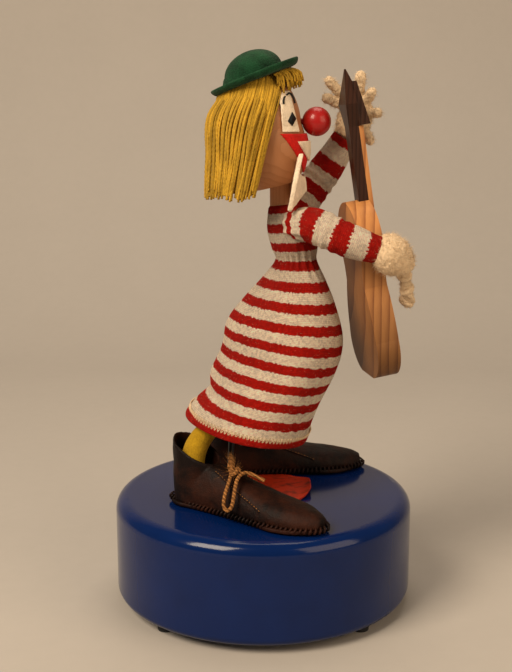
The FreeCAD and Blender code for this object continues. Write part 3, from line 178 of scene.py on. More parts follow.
# Guitar: the heights between which its painted shade low down turns to painted light higher up
PAINTED_SHADE_LOW = 130.0
PAINTED_SHADE_HIGH = 190.0

# Bow tie: how far out the knot reaches and how much the wings lean back below it
BOW_KNOT = 8.0
BOW_CURL = 0.34

# Boots
BOOT_LENGTH = 88.0
BOOT_HALF_WIDTH = 13.0
HEEL_RADIUS = 11.0
BOOT_LEVEL = 54.8
BALL_SHARE = 0.66
HEEL_TAPER = 2.5
HEEL_FULLNESS = 0.45
SOLE_POINTS = 240
BOOTS = {
    "near": {"heel": (-43.5, -11.6), "turn": -35.0, "side": -1},
    "far": {"heel": (-33.0, 27.0), "turn": 8.0, "side": 1},
}
STITCH_STEP = 2.3
STITCH_RADIUS = 0.55
# A stitch over the edge of the sole: way out, way along and height at each bend
STITCH_BENDS = ((-0.3, -0.5, 0.5), (0.7, -0.2, 0.9), (0.8, 0.3, 2.2), (-0.7, 0.7, 3.2))
# The side seam: where it starts from the heel and the middle of the boot, and how far it runs
SEAM_START = (29.0, 5.5)
SEAM_RUN = (30.0, 6.0)
SEAM_STEPS = 39
SEAM_LIFT = 0.15
SEAM_RADIUS = 0.45
SEAM_THREAD = 0.16
SEAM_THREAD_LIFT = 0.5
HEEL_STITCHES = 9
HEEL_STITCH_LOW = 4.0
HEEL_STITCH_STEP = 2.1
HEEL_STITCH_SPOTS = (-1.3, 0.0, 1.3)
HEEL_STITCH_SLANT = 0.35
HEEL_STITCH_LIFT = 0.3
HEEL_STITCH_RADIUS = 0.5
ABOVE_BOOT = 40.0
BEHIND_BOOT = -20.0
LACE_RADIUS = 0.9
# The lace's route in the boot's own frame, for a boot whose outer side is -Y
LACE_ROUTE = (
    (31.0, 1.5, 14.5),
    (32.2, 1.3, 23.0),
    (34.8, -0.2, 25.0),
    (37.5, -3.5, 22.8),
    (39.5, -8.0, 18.5),
    (40.2, -13.0, 13.0),
    (41.0, -15.6, 7.5),
    (44.0, -16.2, 5.6),
    (46.2, -15.4, 8.5),
    (45.5, -13.0, 13.5),
    (43.0, -7.5, 19.5),
    (43.5, -2.0, 21.5),
    (47.5, 1.0, 19.5),
    (52.0, 2.5, 17.3),
)
# The knot and the frayed tail's end in the same frame
KNOT_PLACE = (40.2, -5.2, 21.6)
KNOT_SIZE = 0.85
KNOT_STEPS = 59
KNOT_LAY = 3.0
TAIL_END = (33.5, 0.0, 30.0)
FRAY_FIBRES = 70
FRAY_REACH = (2.5, 7.0)
FRAY_CURL = 0.25
FRAY_RADIUS = 0.09
TAIL_FIBRES = 60
TAIL_REACH = (0.6, 1.0)
TAIL_SPREAD = 1.3
TAIL_RADIUS = 0.14

# Studio, in metres: the floor runs back and turns up into a backdrop
FLOOR_FRONT = -1.2
FLOOR_BACK = 0.9
FLOOR_HALF_WIDTH = 1.6
FLOOR_BEND = 0.4
BACKDROP_HEIGHT = 1.6
# Name, place, aim, size, power and colour of each lamp
LAMPS = (
    ("key", (-0.75, -0.75, 1.05), (0, 0, 0.14), 0.7, 24.0, (1.0, 0.85, 0.66)),
    ("fill", (0.9, -0.7, 0.6), (0, 0, 0.12), 0.9, 7.0, (1.0, 0.78, 0.54)),
    ("top", (0.1, 0.35, 1.2), (0, 0, 0.1), 0.6, 4.0, (1.0, 0.88, 0.72)),
)
ROOM_COLOUR = (0.85, 0.80, 0.74, 1)
ROOM_LIGHT = 0.16

# The photograph's camera: lengths in its pixels, its place in metres and its pitch in degrees
PHOTO_HEIGHT = 672.0
FOCAL_PIXELS = 1100.0
SHIFT_PIXELS = -7.28
SENSOR_WIDTH = 36.0
CAMERA_PLACE = (0, -0.538, 0.243)
CAMERA_PITCH = 11.42


def node(tree, kind, inputs=None, **settings):
    """A shader node with its settings and with each input set to a value or joined to a socket."""
    made = tree.nodes.new(kind)
    for name, value in settings.items():
        setattr(made, name, value)
    for name, value in (inputs or {}).items():
        if isinstance(value, bpy.types.NodeSocket):
            tree.links.new(value, made.inputs[name])
        else:
            made.inputs[name].default_value = value
    return made


def maths(tree, operation, first, second=0.0):
    """The result of one sum on two values."""
    return node(tree, "ShaderNodeMath", {0: first, 1: second}, operation=operation).outputs[0]


def spread(tree, value, low, high):
    """A value from 0 to 1 stretched to a range."""
    return node(tree, "ShaderNodeMapRange", {"Value": value, "To Min": low, "To Max": high}).outputs[0]


def mixed(tree, share, first, second, blend="MIX"):
    """Two colours laid over each other by a share."""
    made = node(tree, "ShaderNodeMix", {0: share, 6: first, 7: second}, data_type="RGBA", blend_type=blend)
    return made.outputs[2]


def shaded(tree, colour, shade):
    """A colour made darker or lighter by a value."""
    tone = node(tree, "ShaderNodeCombineColor", {0: shade, 1: shade, 2: shade}).outputs[0]
    return mixed(tree, 1.0, colour, tone, "MULTIPLY")


def group(name, inputs, outputs):
    """A shared effect: an empty shader group with its sockets."""
    tree = bpy.data.node_groups.new(name, "ShaderNodeTree")
    for label, kind in inputs:
        tree.interface.new_socket(label, in_out="INPUT", socket_type="NodeSocket" + kind)
    for label, kind in outputs:
        tree.interface.new_socket(label, in_out="OUTPUT", socket_type="NodeSocket" + kind)
    return tree, tree.nodes.new("NodeGroupInput").outputs, tree.nodes.new("NodeGroupOutput").inputs


def join(tree, output, target):
    """A link from one socket to another."""
    tree.links.new(output, target)


def fibre_group():
    """Matted fibres: a fine and a coarse noise shade the colour and raise the surface."""
    tree, given, out = group(
        "Fibres",
        [
            ("Vector", "Vector"),
            ("Color", "Color"),
            ("Scale", "Float"),
            ("Depth", "Float"),
            ("Contrast", "Float"),
        ],
        [("Color", "Color"), ("Normal", "Vector")],
    )
    place, scale = given["Vector"], given["Scale"]
    fine = node(tree, "ShaderNodeTexNoise", {"Vector": place, "Scale": scale, "Detail": 5.0})
    coarse_scale = maths(tree, "MULTIPLY", scale, 0.12)
    coarse = node(tree, "ShaderNodeTexNoise", {"Vector": place, "Scale": coarse_scale, "Detail": 3.0})
    both = maths(tree, "ADD", fine.outputs["Fac"], coarse.outputs["Fac"])
    centred = maths(tree, "SUBTRACT", both, 1.0)
    shade = maths(tree, "ADD", maths(tree, "MULTIPLY", centred, given["Contrast"]), 1.0)
    join(tree, shaded(tree, given["Color"], shade), out["Color"])
    bump = node(tree, "ShaderNodeBump", {"Height": both, "Strength": 0.7, "Distance": given["Depth"]})
    join(tree, bump.outputs[0], out["Normal"])
    return tree


def grain_group():
    """Wood: bent growth lines and short pores along one direction."""
    tree, given, out = group(
        "Wood grain",
        [("Vector", "Vector"), ("Light", "Color"), ("Dark", "Color"), ("Lines", "Float"), ("Depth", "Float")],
        [("Color", "Color"), ("Normal", "Vector")],
    )
    wave = node(
        tree,
        "ShaderNodeTexWave",
        {
            "Vector": given["Vector"],
            "Scale": given["Lines"],
            "Distortion": 4.0,
            "Detail": 3.0,
            "Detail Scale": 0.6,
        },
        wave_type="RINGS",
        rings_direction="Z",
        wave_profile="SAW",
    )
    pores = node(tree, "ShaderNodeTexNoise", {"Vector": given["Vector"], "Scale": 900.0, "Detail": 4.0})
    late = maths(tree, "POWER", wave.outputs["Fac"], 2.5)
    dark_lines = maths(tree, "MULTIPLY", late, 0.7)
    dark_pores = maths(tree, "MULTIPLY", pores.outputs["Fac"], 0.35)
    share = maths(tree, "ADD", dark_lines, dark_pores)
    join(tree, mixed(tree, share, given["Light"], given["Dark"]), out["Color"])
    bump = node(tree, "ShaderNodeBump", {"Height": share, "Strength": 0.4, "Distance": given["Depth"]})
    join(tree, bump.outputs[0], out["Normal"])
    return tree


FIBRES = fibre_group()
GRAIN = grain_group()


def matted(tree, place, colour, scale, depth, contrast):
    """The shared fibres over a colour or a colour socket."""
    return node(
        tree,
        "ShaderNodeGroup",
        {"Vector": place, "Color": colour, "Scale": scale, "Depth": depth, "Contrast": contrast},
        node_tree=FIBRES,
    )


def surface(name, roughness, metallic=0.0, shine=0.5):
    """A new node material, its tree, its surface shader and its object coordinates."""
    material = bpy.data.materials.new(name)
    material.use_nodes = True
    tree = material.node_tree
    shader = tree.nodes["Principled BSDF"]
    shader.inputs["Roughness"].default_value = roughness
    shader.inputs["Metallic"].default_value = metallic
    shader.inputs["Specular IOR Level"].default_value = shine
    return material, tree, shader, tree.nodes.new("ShaderNodeTexCoord").outputs["Object"]


def fibrous(
    name,
    colour,
    scale=1500.0,
    depth=0.0006,
    contrast=0.6,
    sheen=0.06,
    roughness=0.95,
    metallic=0.0,
    toned=False,
):
    """Felt, wool, yarn, board, plastic or metal, by how strong and how fine its grain is."""
    material, tree, shader, place = surface(name, roughness, metallic, 0.5 if metallic else 0.15)
    look = matted(tree, place, (*colour, 1), scale, depth, contrast)
    colour_out = look.outputs["Color"]
    if toned:
        tone = node(tree, "ShaderNodeAttribute", attribute_name="tone").outputs["Color"]
        colour_out = mixed(tree, 1.0, colour_out, tone, "MULTIPLY")
    join(tree, colour_out, shader.inputs["Base Color"])
    join(tree, look.outputs["Normal"], shader.inputs["Normal"])
    shader.inputs["Sheen Weight"].default_value = sheen
    return material


def wooden(name, light, dark, stretch, lines, roughness, turn=(0, 0, 0), deep=1.0):
    """Wood with its grain along the axis that is stretched least, and painted shade low down that turns to
    painted light higher up.
    """
    material, tree, shader, place = surface(name, roughness, shine=0.25)
    laid = node(tree, "ShaderNodeMapping", {"Vector": place, "Rotation": turn, "Scale": stretch})
    look = node(
        tree,
        "ShaderNodeGroup",
        {
            "Vector": laid.outputs[0],
            "Light": (*light, 1),
            "Dark": (*dark, 1),
            "Lines": lines,
            "Depth": 0.0003,
        },
        node_tree=GRAIN,
    )
    # Painted shade and light: the colour is darkened low down and lightened higher up, by as much as deep
    # asks
    height = node(tree, "ShaderNodeSeparateXYZ", {0: place}).outputs[2]
    painted_shade = node(
        tree,
        "ShaderNodeMapRange",
        {
            "Value": height,
            "From Min": PAINTED_SHADE_LOW * MM,
            "From Max": PAINTED_SHADE_HIGH * MM,
            "To Min": deep,
            "To Max": 2.0 - deep,
        },
    ).outputs[0]
    join(tree, shaded(tree, look.outputs["Color"], painted_shade), shader.inputs["Base Color"])
    join(tree, look.outputs["Normal"], shader.inputs["Normal"])
    return material


def lacquered(name, colour, roughness, speck, coat):
    """Gloss paint, with as much clear coat as asked, faint flow marks and a little dust."""
    material, tree, shader, place = surface(name, roughness, shine=0.28)
    flow = node(tree, "ShaderNodeTexNoise", {"Vector": place, "Scale": 60.0, "Detail": 2.0})
    dust = node(tree, "ShaderNodeTexNoise", {"Vector": place, "Scale": 2600.0, "Detail": 2.0})
    specks = node(
        tree,
        "ShaderNodeMapRange",
        {"Value": dust.outputs["Fac"], "From Min": 0.72, "From Max": 0.8, "To Max": speck},
    )
    deep = mixed(tree, flow.outputs["Fac"], (*[0.8 * c for c in colour], 1), (*[1.2 * c for c in colour], 1))
    dusty = mixed(tree, specks.outputs[0], deep, (0.5, 0.5, 0.5, 1))
    join(tree, dusty, shader.inputs["Base Color"])
    bump = node(tree, "ShaderNodeBump", {"Height": flow.outputs["Fac"], "Strength": 0.15, "Distance": 0.0004})
    join(tree, bump.outputs[0], shader.inputs["Normal"])
    shader.inputs["Coat Weight"].default_value = coat
    shader.inputs["Coat Roughness"].default_value = 0.05
    return material


def knitted(name, red, white):
    """Stocking stitch from wales and courses in the UV map, with stripes from a mesh attribute, and painted
    shade in the hollows and painted light on the loops of each stitch.
    """
    material, tree, shader, place = surface(name, 0.95, shine=0.05)
    spots = node(tree, "ShaderNodeSeparateXYZ", {0: tree.nodes["Texture Coordinate"].outputs["UV"]})
    across, along = spots.outputs[0], spots.outputs[1]
    in_wale = maths(tree, "FRACT", across)
    side = maths(tree, "ABSOLUTE", maths(tree, "SUBTRACT", in_wale, 0.5))
    slanted = maths(tree, "ADD", along, maths(tree, "MULTIPLY", side, 1.3))
    in_course = maths(tree, "FRACT", slanted)
    leg = maths(tree, "SINE", maths(tree, "MULTIPLY", in_course, pi))
    rib = maths(tree, "SINE", maths(tree, "MULTIPLY", maths(tree, "MULTIPLY", side, 2.0), pi))
    height = maths(tree, "MULTIPLY", maths(tree, "ADD", leg, 0.5), maths(tree, "ADD", rib, 0.4))

    stripe = node(tree, "ShaderNodeAttribute", attribute_name="stripe").outputs["Fac"]
    wale_number = maths(tree, "FLOOR", maths(tree, "ADD", across, 0.5))
    jag = node(tree, "ShaderNodeTexWhiteNoise", {"W": wale_number}, noise_dimensions="1D").outputs["Value"]
    shifted = maths(tree, "ADD", stripe, spread(tree, jag, -0.035, 0.035))
    stepped = maths(tree, "ADD", shifted, maths(tree, "MULTIPLY", side, 0.06))
    is_red = maths(tree, "LESS_THAN", maths(tree, "FRACT", stepped), RED_SHARE)
    striped = mixed(tree, is_red, (*white, 1), (*red, 1))

    look = matted(tree, place, striped, scale=1300.0, depth=0.0003, contrast=0.45)
    course_number = maths(tree, "FLOOR", slanted)
    cell = node(tree, "ShaderNodeCombineXYZ", {0: maths(tree, "FLOOR", across), 1: course_number}).outputs[0]
    loose = node(tree, "ShaderNodeTexWhiteNoise", {"Vector": cell}, noise_dimensions="2D").outputs["Value"]
    # Painted shade and light: each stitch is darkened in its hollows and lightened on its loops
    painted_stitch_shade = spread(tree, maths(tree, "MULTIPLY", height, 0.5), 0.45, 1.5)
    shade = maths(tree, "MULTIPLY", painted_stitch_shade, spread(tree, loose, 0.8, 1.15))
    join(tree, shaded(tree, look.outputs["Color"], shade), shader.inputs["Base Color"])
    bump = node(
        tree,
        "ShaderNodeBump",
        {"Height": height, "Strength": 0.9, "Distance": 0.0006, "Normal": look.outputs["Normal"]},
    )
    join(tree, bump.outputs[0], shader.inputs["Normal"])
    shader.inputs["Sheen Weight"].default_value = 0.01
    return material


def leathern(name, dark, worn_and_highlight):
    """Dull leather: pale patches in a noise, partly rubbed leather and partly painted highlight, with fine
    pores and creases.
    """
    material, tree, shader, place = surface(name, 0.55, shine=0.15)
    # Pale patches in a noise: partly rubbed leather and partly painted highlight
    wear_and_highlight = node(tree, "ShaderNodeTexNoise", {"Vector": place, "Scale": 55.0, "Detail": 5.0, "Roughness": 0.7})
    share = node(
        tree, "ShaderNodeMapRange", {"Value": wear_and_highlight.outputs["Fac"], "From Min": 0.42, "From Max": 0.78}
    )
    pores = node(tree, "ShaderNodeTexVoronoi", {"Vector": place, "Scale": 1400.0})
    join(tree, mixed(tree, share.outputs[0], (*dark, 1), (*worn_and_highlight, 1)), shader.inputs["Base Color"])
    rough = spread(tree, wear_and_highlight.outputs["Fac"], 0.42, 0.75)
    join(tree, rough, shader.inputs["Roughness"])
    both = maths(tree, "ADD", pores.outputs["Distance"], wear_and_highlight.outputs["Fac"])
    bump = node(tree, "ShaderNodeBump", {"Height": both, "Strength": 0.5, "Distance": 0.0003})
    join(tree, bump.outputs[0], shader.inputs["Normal"])
    return material


def twisted(name, colour, pitch):
    """Loose twine: slanted bands of the twist over matted fibres, with painted shade where the bands dip."""
    material, tree, shader, place = surface(name, 0.95, shine=0.1)
    bands = node(
        tree,
        "ShaderNodeTexWave",
        {"Vector": place, "Scale": 0.314 / pitch, "Distortion": 1.5, "Detail": 2.0, "Detail Scale": 2.0},
        bands_direction="DIAGONAL",
    ).outputs["Fac"]
    look = matted(tree, place, (*colour, 1), scale=1800.0, depth=0.0008, contrast=0.9)
    # Painted shade: the colour is darkened in the grooves of the twist
    shade = spread(tree, bands, 0.45, 1.1)
    join(tree, shaded(tree, look.outputs["Color"], shade), shader.inputs["Base Color"])
    bump = node(
        tree,
        "ShaderNodeBump",
        {"Height": bands, "Strength": 0.9, "Distance": 0.0006, "Normal": look.outputs["Normal"]},
    )
    join(tree, bump.outputs[0], shader.inputs["Normal"])
    return material


def scuffed(name, paint, dark):
    """Thin paint with slanted dark scuffs."""
    material, tree, shader, place = surface(name, 0.45, shine=0.25)
    laid = node(
        tree, "ShaderNodeMapping", {"Vector": place, "Rotation": (0, 0, 0.8), "Scale": (110.0, 170.0, 110.0)}
    )
    marks = node(tree, "ShaderNodeTexNoise", {"Vector": laid.outputs[0], "Scale": 1.5, "Detail": 5.0})
    share = node(
        tree, "ShaderNodeMapRange", {"Value": marks.outputs["Fac"], "From Min": 0.5, "From Max": 0.72}
    )
    join(tree, mixed(tree, share.outputs[0], (*paint, 1), (*dark, 1)), shader.inputs["Base Color"])
    bump = node(tree, "ShaderNodeBump", {"Height": marks.outputs["Fac"], "Strength": 0.3, "Distance": 0.0003})
    join(tree, bump.outputs[0], shader.inputs["Normal"])
    return material


METAL_GRAIN = {"scale": 900.0, "depth": 0.0001, "contrast": 0.3, "sheen": 0.0, "metallic": 1.0}
PLASTIC_GRAIN = {"scale": 900.0, "depth": 0.0001, "contrast": 0.5, "sheen": 0.0}
SHADES = {
    "blue_lacquer": lacquered("blue_lacquer", (0.0008, 0.012, 0.078), roughness=0.14, speck=0.02, coat=0.0),
    "red_bead": lacquered("red_bead", (0.35, 0.006, 0.005), roughness=0.4, speck=0.1, coat=0.3),
    "hardboard": fibrous(
        "hardboard", (0.30, 0.19, 0.10), scale=700.0, depth=0.0002, sheen=0.0, roughness=0.7
    ),
    "steel": fibrous("steel", (0.56, 0.56, 0.57), roughness=0.3, **METAL_GRAIN),
    "dark_steel": fibrous("dark_steel", (0.05, 0.05, 0.05), roughness=0.4, **METAL_GRAIN),
    "brass": fibrous("brass", (0.72, 0.50, 0.20), roughness=0.3, **METAL_GRAIN),
    "zinc": fibrous("zinc", (0.48, 0.49, 0.50), roughness=0.5, **METAL_GRAIN),
    "foot_pad": fibrous("foot_pad", (0.02, 0.02, 0.022), roughness=0.7, **PLASTIC_GRAIN),
    "black_plastic": fibrous("black_plastic", (0.012, 0.012, 0.012), roughness=0.45, **PLASTIC_GRAIN),
    "red_paint": scuffed("red_paint", (0.48, 0.030, 0.007), (0.06, 0.008, 0.004)),
    "yellow_felt": fibrous("yellow_felt", (0.40, 0.23, 0.010), scale=1300.0, depth=0.0005, contrast=0.7),
    "brown_leather": leathern("brown_leather", (0.005, 0.0016, 0.001), (0.045, 0.011, 0.004)),
    "jute": twisted("jute", (0.42, 0.18, 0.055), pitch=0.0014),
    "stuffing": fibrous("stuffing", (0.80, 0.76, 0.68)),
    "striped_knit": knitted("striped_knit", (0.46, 0.010, 0.005), (0.92, 0.75, 0.58)),
    "white_felt": fibrous("white_felt", (0.86, 0.70, 0.52)),
    "red_felt": fibrous("red_felt", (0.56, 0.012, 0.008)),
    "yellow_yarn": fibrous(
        "yellow_yarn", (0.50, 0.285, 0.025), scale=1100.0, depth=0.0003, contrast=0.8, toned=True
    ),
    "green_felt": fibrous("green_felt", (0.007, 0.044, 0.017), depth=0.0009, contrast=1.6),
    "white_wool": fibrous("white_wool", (0.70, 0.52, 0.33), scale=1200.0, depth=0.0008, contrast=0.5),
    "pale_wood": wooden(
        "pale_wood",
        light=(0.42, 0.18, 0.075),
        dark=(0.34, 0.135, 0.05),
        stretch=(1, 1, 0.12),
        lines=190.0,
        roughness=0.45,
    ),
    "pine": wooden(
        "pine",
        light=(0.43, 0.19, 0.06),
        dark=(0.14, 0.04, 0.012),
        stretch=(1, 0.5, 0.06),
        lines=75.0,
        roughness=0.5,
        turn=(0, 0.16, 0),
        # deep: how strong the painted shade low down and the painted light higher up are
        deep=0.55,
    ),
    "dark_wood": wooden(
        "dark_wood",
        light=(0.045, 0.014, 0.006),
        dark=(0.012, 0.004, 0.002),
        stretch=(1, 1, 0.1),
        lines=160.0,
        roughness=0.35,
    ),
}
SLOTS = {row["node"]: row["material_slot"] for row in frame["record"]["subparts"]}
BODY_OF = {name: body for body, names in frame["record"]["behaviour"]["bodies"].items() for name in names}

for name, shape in NODES.items():
    shape.data.materials.clear()
    shape.data.materials.append(SHADES[SLOTS[name]])


def rounded(name, width, segments=3):
    """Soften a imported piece's sharp edges with a live bevel."""
    bevel = NODES[name].modifiers.new("edges", "BEVEL")
    bevel.width = width * MM
    bevel.segments = segments
    bevel.limit_method = "ANGLE"
    bevel.angle_limit = radians(40)


for name in ("guitar_body", "guitar_neck", "fingerboard", "head_plate", "bridge", "cover_disc"):
    rounded(name, 0.3)


def placed(name, mesh, shade, body):
    """A new object from a mesh in metres, shaded smooth, that rides on a body."""
    mesh.polygons.foreach_set("use_smooth", [True] * len(mesh.polygons))
    mesh.materials.clear()
    mesh.materials.append(SHADES[shade])
    made = bpy.data.objects.new(name, mesh)
    bpy.context.scene.collection.objects.link(made)
    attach(made, body)
    return made


def from_lists(name, points, faces, shade, body):
    """An object from points in millimetres and faces."""
    mesh = bpy.data.meshes.new(name)
    mesh.from_pydata([Vector(p) * MM for p in points], [], faces)
    mesh.validate()
    return placed(name, mesh, shade, body)


def smooth_step(rows, share):
    """A point on a smooth run through rows of numbers, at a share of its length."""
    last = len(rows) - 1
    spot = min(share * last, last - 1e-6)
    first = int(spot)
    t = spot - first
    before, start = rows[max(first - 1, 0)], rows[first]
    end, after = rows[first + 1], rows[min(first + 2, last)]
    found = []
    for a, b, c, d in zip(before, start, end, after):
        found.append(
            b + 0.5 * t * (c - a + t * (2 * a - 5 * b + 4 * c - d + t * (3 * (b - c) + d - a)))
        )
    return found


def hill(place, centre, reach):
    """A smooth rise that is 1 at its centre and fades over a reach."""
    return exp(-(((place - centre) / reach) ** 2))


def quarter_turn(steps):
    """Even angles from nothing to a right angle."""
    return [step / steps * pi / 2 for step in range(steps + 1)]


def scatter(lift=0.0, height=1.0):
    """A chance direction, with its own mean and spread in height."""
    return Vector((CHANCE.gauss(0, 1), CHANCE.gauss(0, 1), CHANCE.gauss(lift, height)))


def skin(rings):
    """Faces of a closed tube of rings with the same number of points."""
    count = len(rings[0])
    faces = []
    for row in range(len(rings) - 1):
        for column in range(count):
            following = (column + 1) % count
            low, high = row * count, (row + 1) * count
            faces.append((low + column, low + following, high + following, high + column))
    return faces


def knit_piece(name, rings, lengths, wales, stripes, body="figure"):
    """A knitted tube with stitches in its UV map and stripes in an attribute."""
    points = [point for ring in rings for point in ring]
    made = from_lists(name, points, skin(rings), "striped_knit", body)
    count = len(rings[0])
    layer = made.data.uv_layers.new(name="stitches")
    for face in made.data.polygons:
        corners = [made.data.loops[index].vertex_index % count for index in face.loop_indices]
        wraps = max(corners) - min(corners) > 1
        for index, column in zip(face.loop_indices, corners):
            row = made.data.loops[index].vertex_index // count
            turn = count if wraps and column == 0 else column
            layer.data[index].uv = (turn * wales / count, lengths[row] / COURSE)
    stripe = made.data.attributes.new("stripe", "FLOAT", "POINT")
    stripe.data.foreach_set("value", [stripes[row] for row in range(len(rings)) for _ in range(count)])
    return made


def turned_ring(centre, lean, deep, wide, columns, offset=lambda angle: 0.0):
    """An oval ring square to a leaning axis, moved out by an offset at each angle."""
    forward = Vector((cos(lean), 0, -sin(lean)))
    ring = []
    for column in range(columns):
        angle = 2 * pi * column / columns
        out = offset(angle)
        ring.append(
            Vector(centre) + forward * (deep + out) * cos(angle) + Vector((0, (wide + out) * sin(angle), 0))
        )
    return ring


def knitted_body():
    """The sweater: a rolled hem, a pear-shaped body, gathers at the waist and a neck hole."""
    rows, columns = 190, 160
    rings, lengths, stripes = [], [], []
    along = 0.0
    previous = None
    for row in range(rows + 1):
        x, z, lean, deep, wide = smooth_step(BODY_STATIONS, row / rows)
        centre = Vector((x, 0, z))
        if previous is not None:
            along += (centre - previous).length
        previous = centre
        gather = hill(z, WAIST_HEIGHT, WAIST_REACH)
        roll = HEM_ROLL * exp(-(((along - HEM_HEIGHT / 2) / (HEM_HEIGHT / 2)) ** 4))

        def offset(angle):
            fold = sin(WAIST_FOLDS * angle + 1.7 * sin(3 * angle)) - 1
            sag = sin(5 * angle + z / 9) + sin(3 * angle - z / 6)
            behind = max(-cos(angle), 0.0) ** 2
            seat = SEAT_SWELL * hill(z, SEAT_HEIGHT, SEAT_REACH)
            seat -= SEAT_TUCK * hill(z, TUCK_HEIGHT, TUCK_REACH)
            return WAIST_FOLD_DEPTH * gather * fold + roll + SAG_DEPTH * sag + behind * seat

        deep, wide = deep - KNIT_INSET, wide - KNIT_INSET
        rings.append(turned_ring(centre, radians(lean), deep, wide, columns, offset))
        lengths.append(along)
        stripes.append((along - HEM_HEIGHT) / BODY_PERIOD + RED_SHARE)
    x, z, lean, deep, wide = BODY_STATIONS[0]
    for lift in HEM_LINING:
        inside = turned_ring(
            (x + lift * HEM_SLOPE, 0, z + lift),
            radians(lean),
            deep - KNIT_INSET - KNIT_THICKNESS,
            wide - KNIT_INSET - KNIT_THICKNESS,
            columns,
        )
        rings.insert(0, inside)
        lengths.insert(0, -lift)
        stripes.insert(0, 0.2)
    x, z, lean, _, _ = BODY_STATIONS[-1]
    neck = (x - 1.0, 0, z + 0.8)
    rings.append(turned_ring(neck, radians(lean), NECK_RADIUS, NECK_RADIUS, columns))
    lengths.append(along + 3.0)
    stripes.append(stripes[-1])
    return knit_piece("knitted_body", rings, lengths, BODY_WALES, stripes)


def path_frames(points):
    """The direction and two square directions at each point of a line, without twist."""
    found = []
    side = None
    for number in range(len(points)):
        ahead = points[min(number + 1, len(points) - 1)]
        behind = points[max(number - 1, 0)]
        along = (ahead - behind).normalized()
        if side is None:
            side = along.orthogonal().normalized()
        side = (side - along * side.dot(along)).normalized()
        found.append((along, side, along.cross(side)))
    return found


@cache
def packed_tree(name):
    """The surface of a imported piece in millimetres, for pieces that lie on it or keep off it."""
    mesh = NODES[name].data
    corners = [vertex.co / MM for vertex in mesh.vertices]
    return BVHTree.FromPolygons(corners, [face.vertices[:] for face in mesh.polygons])


def clear_of(points, names, gap, reach):
    """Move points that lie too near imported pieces, or in them by up to a reach, out to a gap."""
    moved = []
    for point in points:
        for name in names:
            place, normal, _, distance = packed_tree(name).find_nearest(point)
            inside = (point - place).dot(normal) < 0
            if distance < gap or (inside and distance < reach):
                point = place + normal * gap
        moved.append(point)
    return moved


GUITAR = ("guitar_body", "guitar_neck", "fingerboard", "head_plate")


def sleeve(name, arm, phase):
    """A knitted sleeve with gathers that fan out from the shoulder and creases at the elbow."""
    rows, columns = 96, 56
    line = [smooth_step(arm, row / rows) for row in range(rows + 1)]
    centres = [Vector(spot[:3]) for spot in line]
    rings, lengths, stripes = [], [], []
    along = 0.0
    for row, (frame_here, spot) in enumerate(zip(path_frames(centres), line)):
        if row:
            along += (centres[row] - centres[row - 1]).length
        gather = hill(along, 0.0, SHOULDER_REACH)
        crease = hill(along, ELBOW_DISTANCE, ELBOW_REACH)
        ring = []
        for column in range(columns):
            angle = 2 * pi * column / columns
            fold = SHOULDER_FOLD_DEPTH * gather * (sin(SHOULDER_FOLDS * angle) - 1)
            fold += ELBOW_CREASE * crease * sin(along * 1.3 + 2 * cos(angle))
            radius = spot[3] - SLEEVE_INSET + fold + 0.15 * sin(4 * angle + along / 3)
            _, side, up = frame_here
            ring.append(centres[row] + (side * cos(angle) + up * sin(angle)) * radius)
        rings.append(clear_of(ring, GUITAR, SLEEVE_GAP, SLEEVE_SINK))
        lengths.append(along)
        stripes.append(along / SLEEVE_PERIOD + phase - exp(-along / SHOULDER_GATHER))
    rings.append([centres[-1]] * columns)
    lengths.append(along + 2.0)
    stripes.append(stripes[-1])
    return knit_piece(name, rings, lengths, SLEEVE_WALES, stripes)


class Strands:
    """Round strands collected into one mesh."""

    def __init__(self):
        self.points = []
        self.faces = []
        self.tones = []

    def add(self, line, radius, sides=6, lay=None, phase=0.0, taper=False):
        """A strand on a line. With a lay it shows two twisted plies, and with taper its end is thin."""
        start = len(self.points)
        self.tones.extend([CHANCE.uniform(*YARN_TONES)] * (len(line) * sides))
        travelled = 0.0
        for row, (place, (_, side, up)) in enumerate(zip(line, path_frames(line))):
            if row:
                travelled += (line[row] - line[row - 1]).length
            share = 1 - TAPER * row / (len(line) - 1) if taper else 1.0
            for corner in range(sides):
                angle = 2 * pi * corner / sides
                ply = 1.0
                if lay:
                    ply = PLY_WAIST + PLY_SWELL * abs(cos(angle - pi * travelled / lay - phase))
                self.points.append(place + (side * cos(angle) + up * sin(angle)) * radius * share * ply)
        for row in range(len(line) - 1):
            low, high = start + row * sides, start + (row + 1) * sides
            for corner in range(sides):
                following = (corner + 1) % sides
                self.faces.append((low + corner, low + following, high + following, high + corner))
        end = start + (len(line) - 1) * sides
        self.faces.append(tuple(reversed(range(start, start + sides))))
        self.faces.append(tuple(range(end, end + sides)))

    def made(self, name, shade, body):
        """The strands as one object, each with its own tone."""
        strands = from_lists(name, self.points, self.faces, shade, body)
        strands.data.attributes.new("tone", "FLOAT", "POINT").data.foreach_set("value", self.tones)
        return strands


def hair_spot(share, height, inset):
    """A point on the bell of hair, from the near edge of the face round the back to the far edge."""
    top, low = HAIR_STATIONS[0][1], HAIR_STATIONS[-1][1]
    x, _, deep, wide = smooth_step(HAIR_STATIONS, min(max((top - height) / (top - low), 0.0), 1.0))
    front = HAIR_FRONT + (height - HAT_SEAT.z) / 4
    edge = acos(min(max((front - x) / deep, -0.95), 0.95))
    angle = edge + (2 * pi - 2 * edge) * share
    return Vector((x + (deep - inset) * cos(angle), -(wide - inset) * sin(angle), height))


def brim_height(x):
    """The underside of the tilted brim above a point of the hair."""
    return HAT_SEAT.z - BRIM_DROP + (x - HAT_SEAT.x) * tan(radians(-HAT_LEAN))


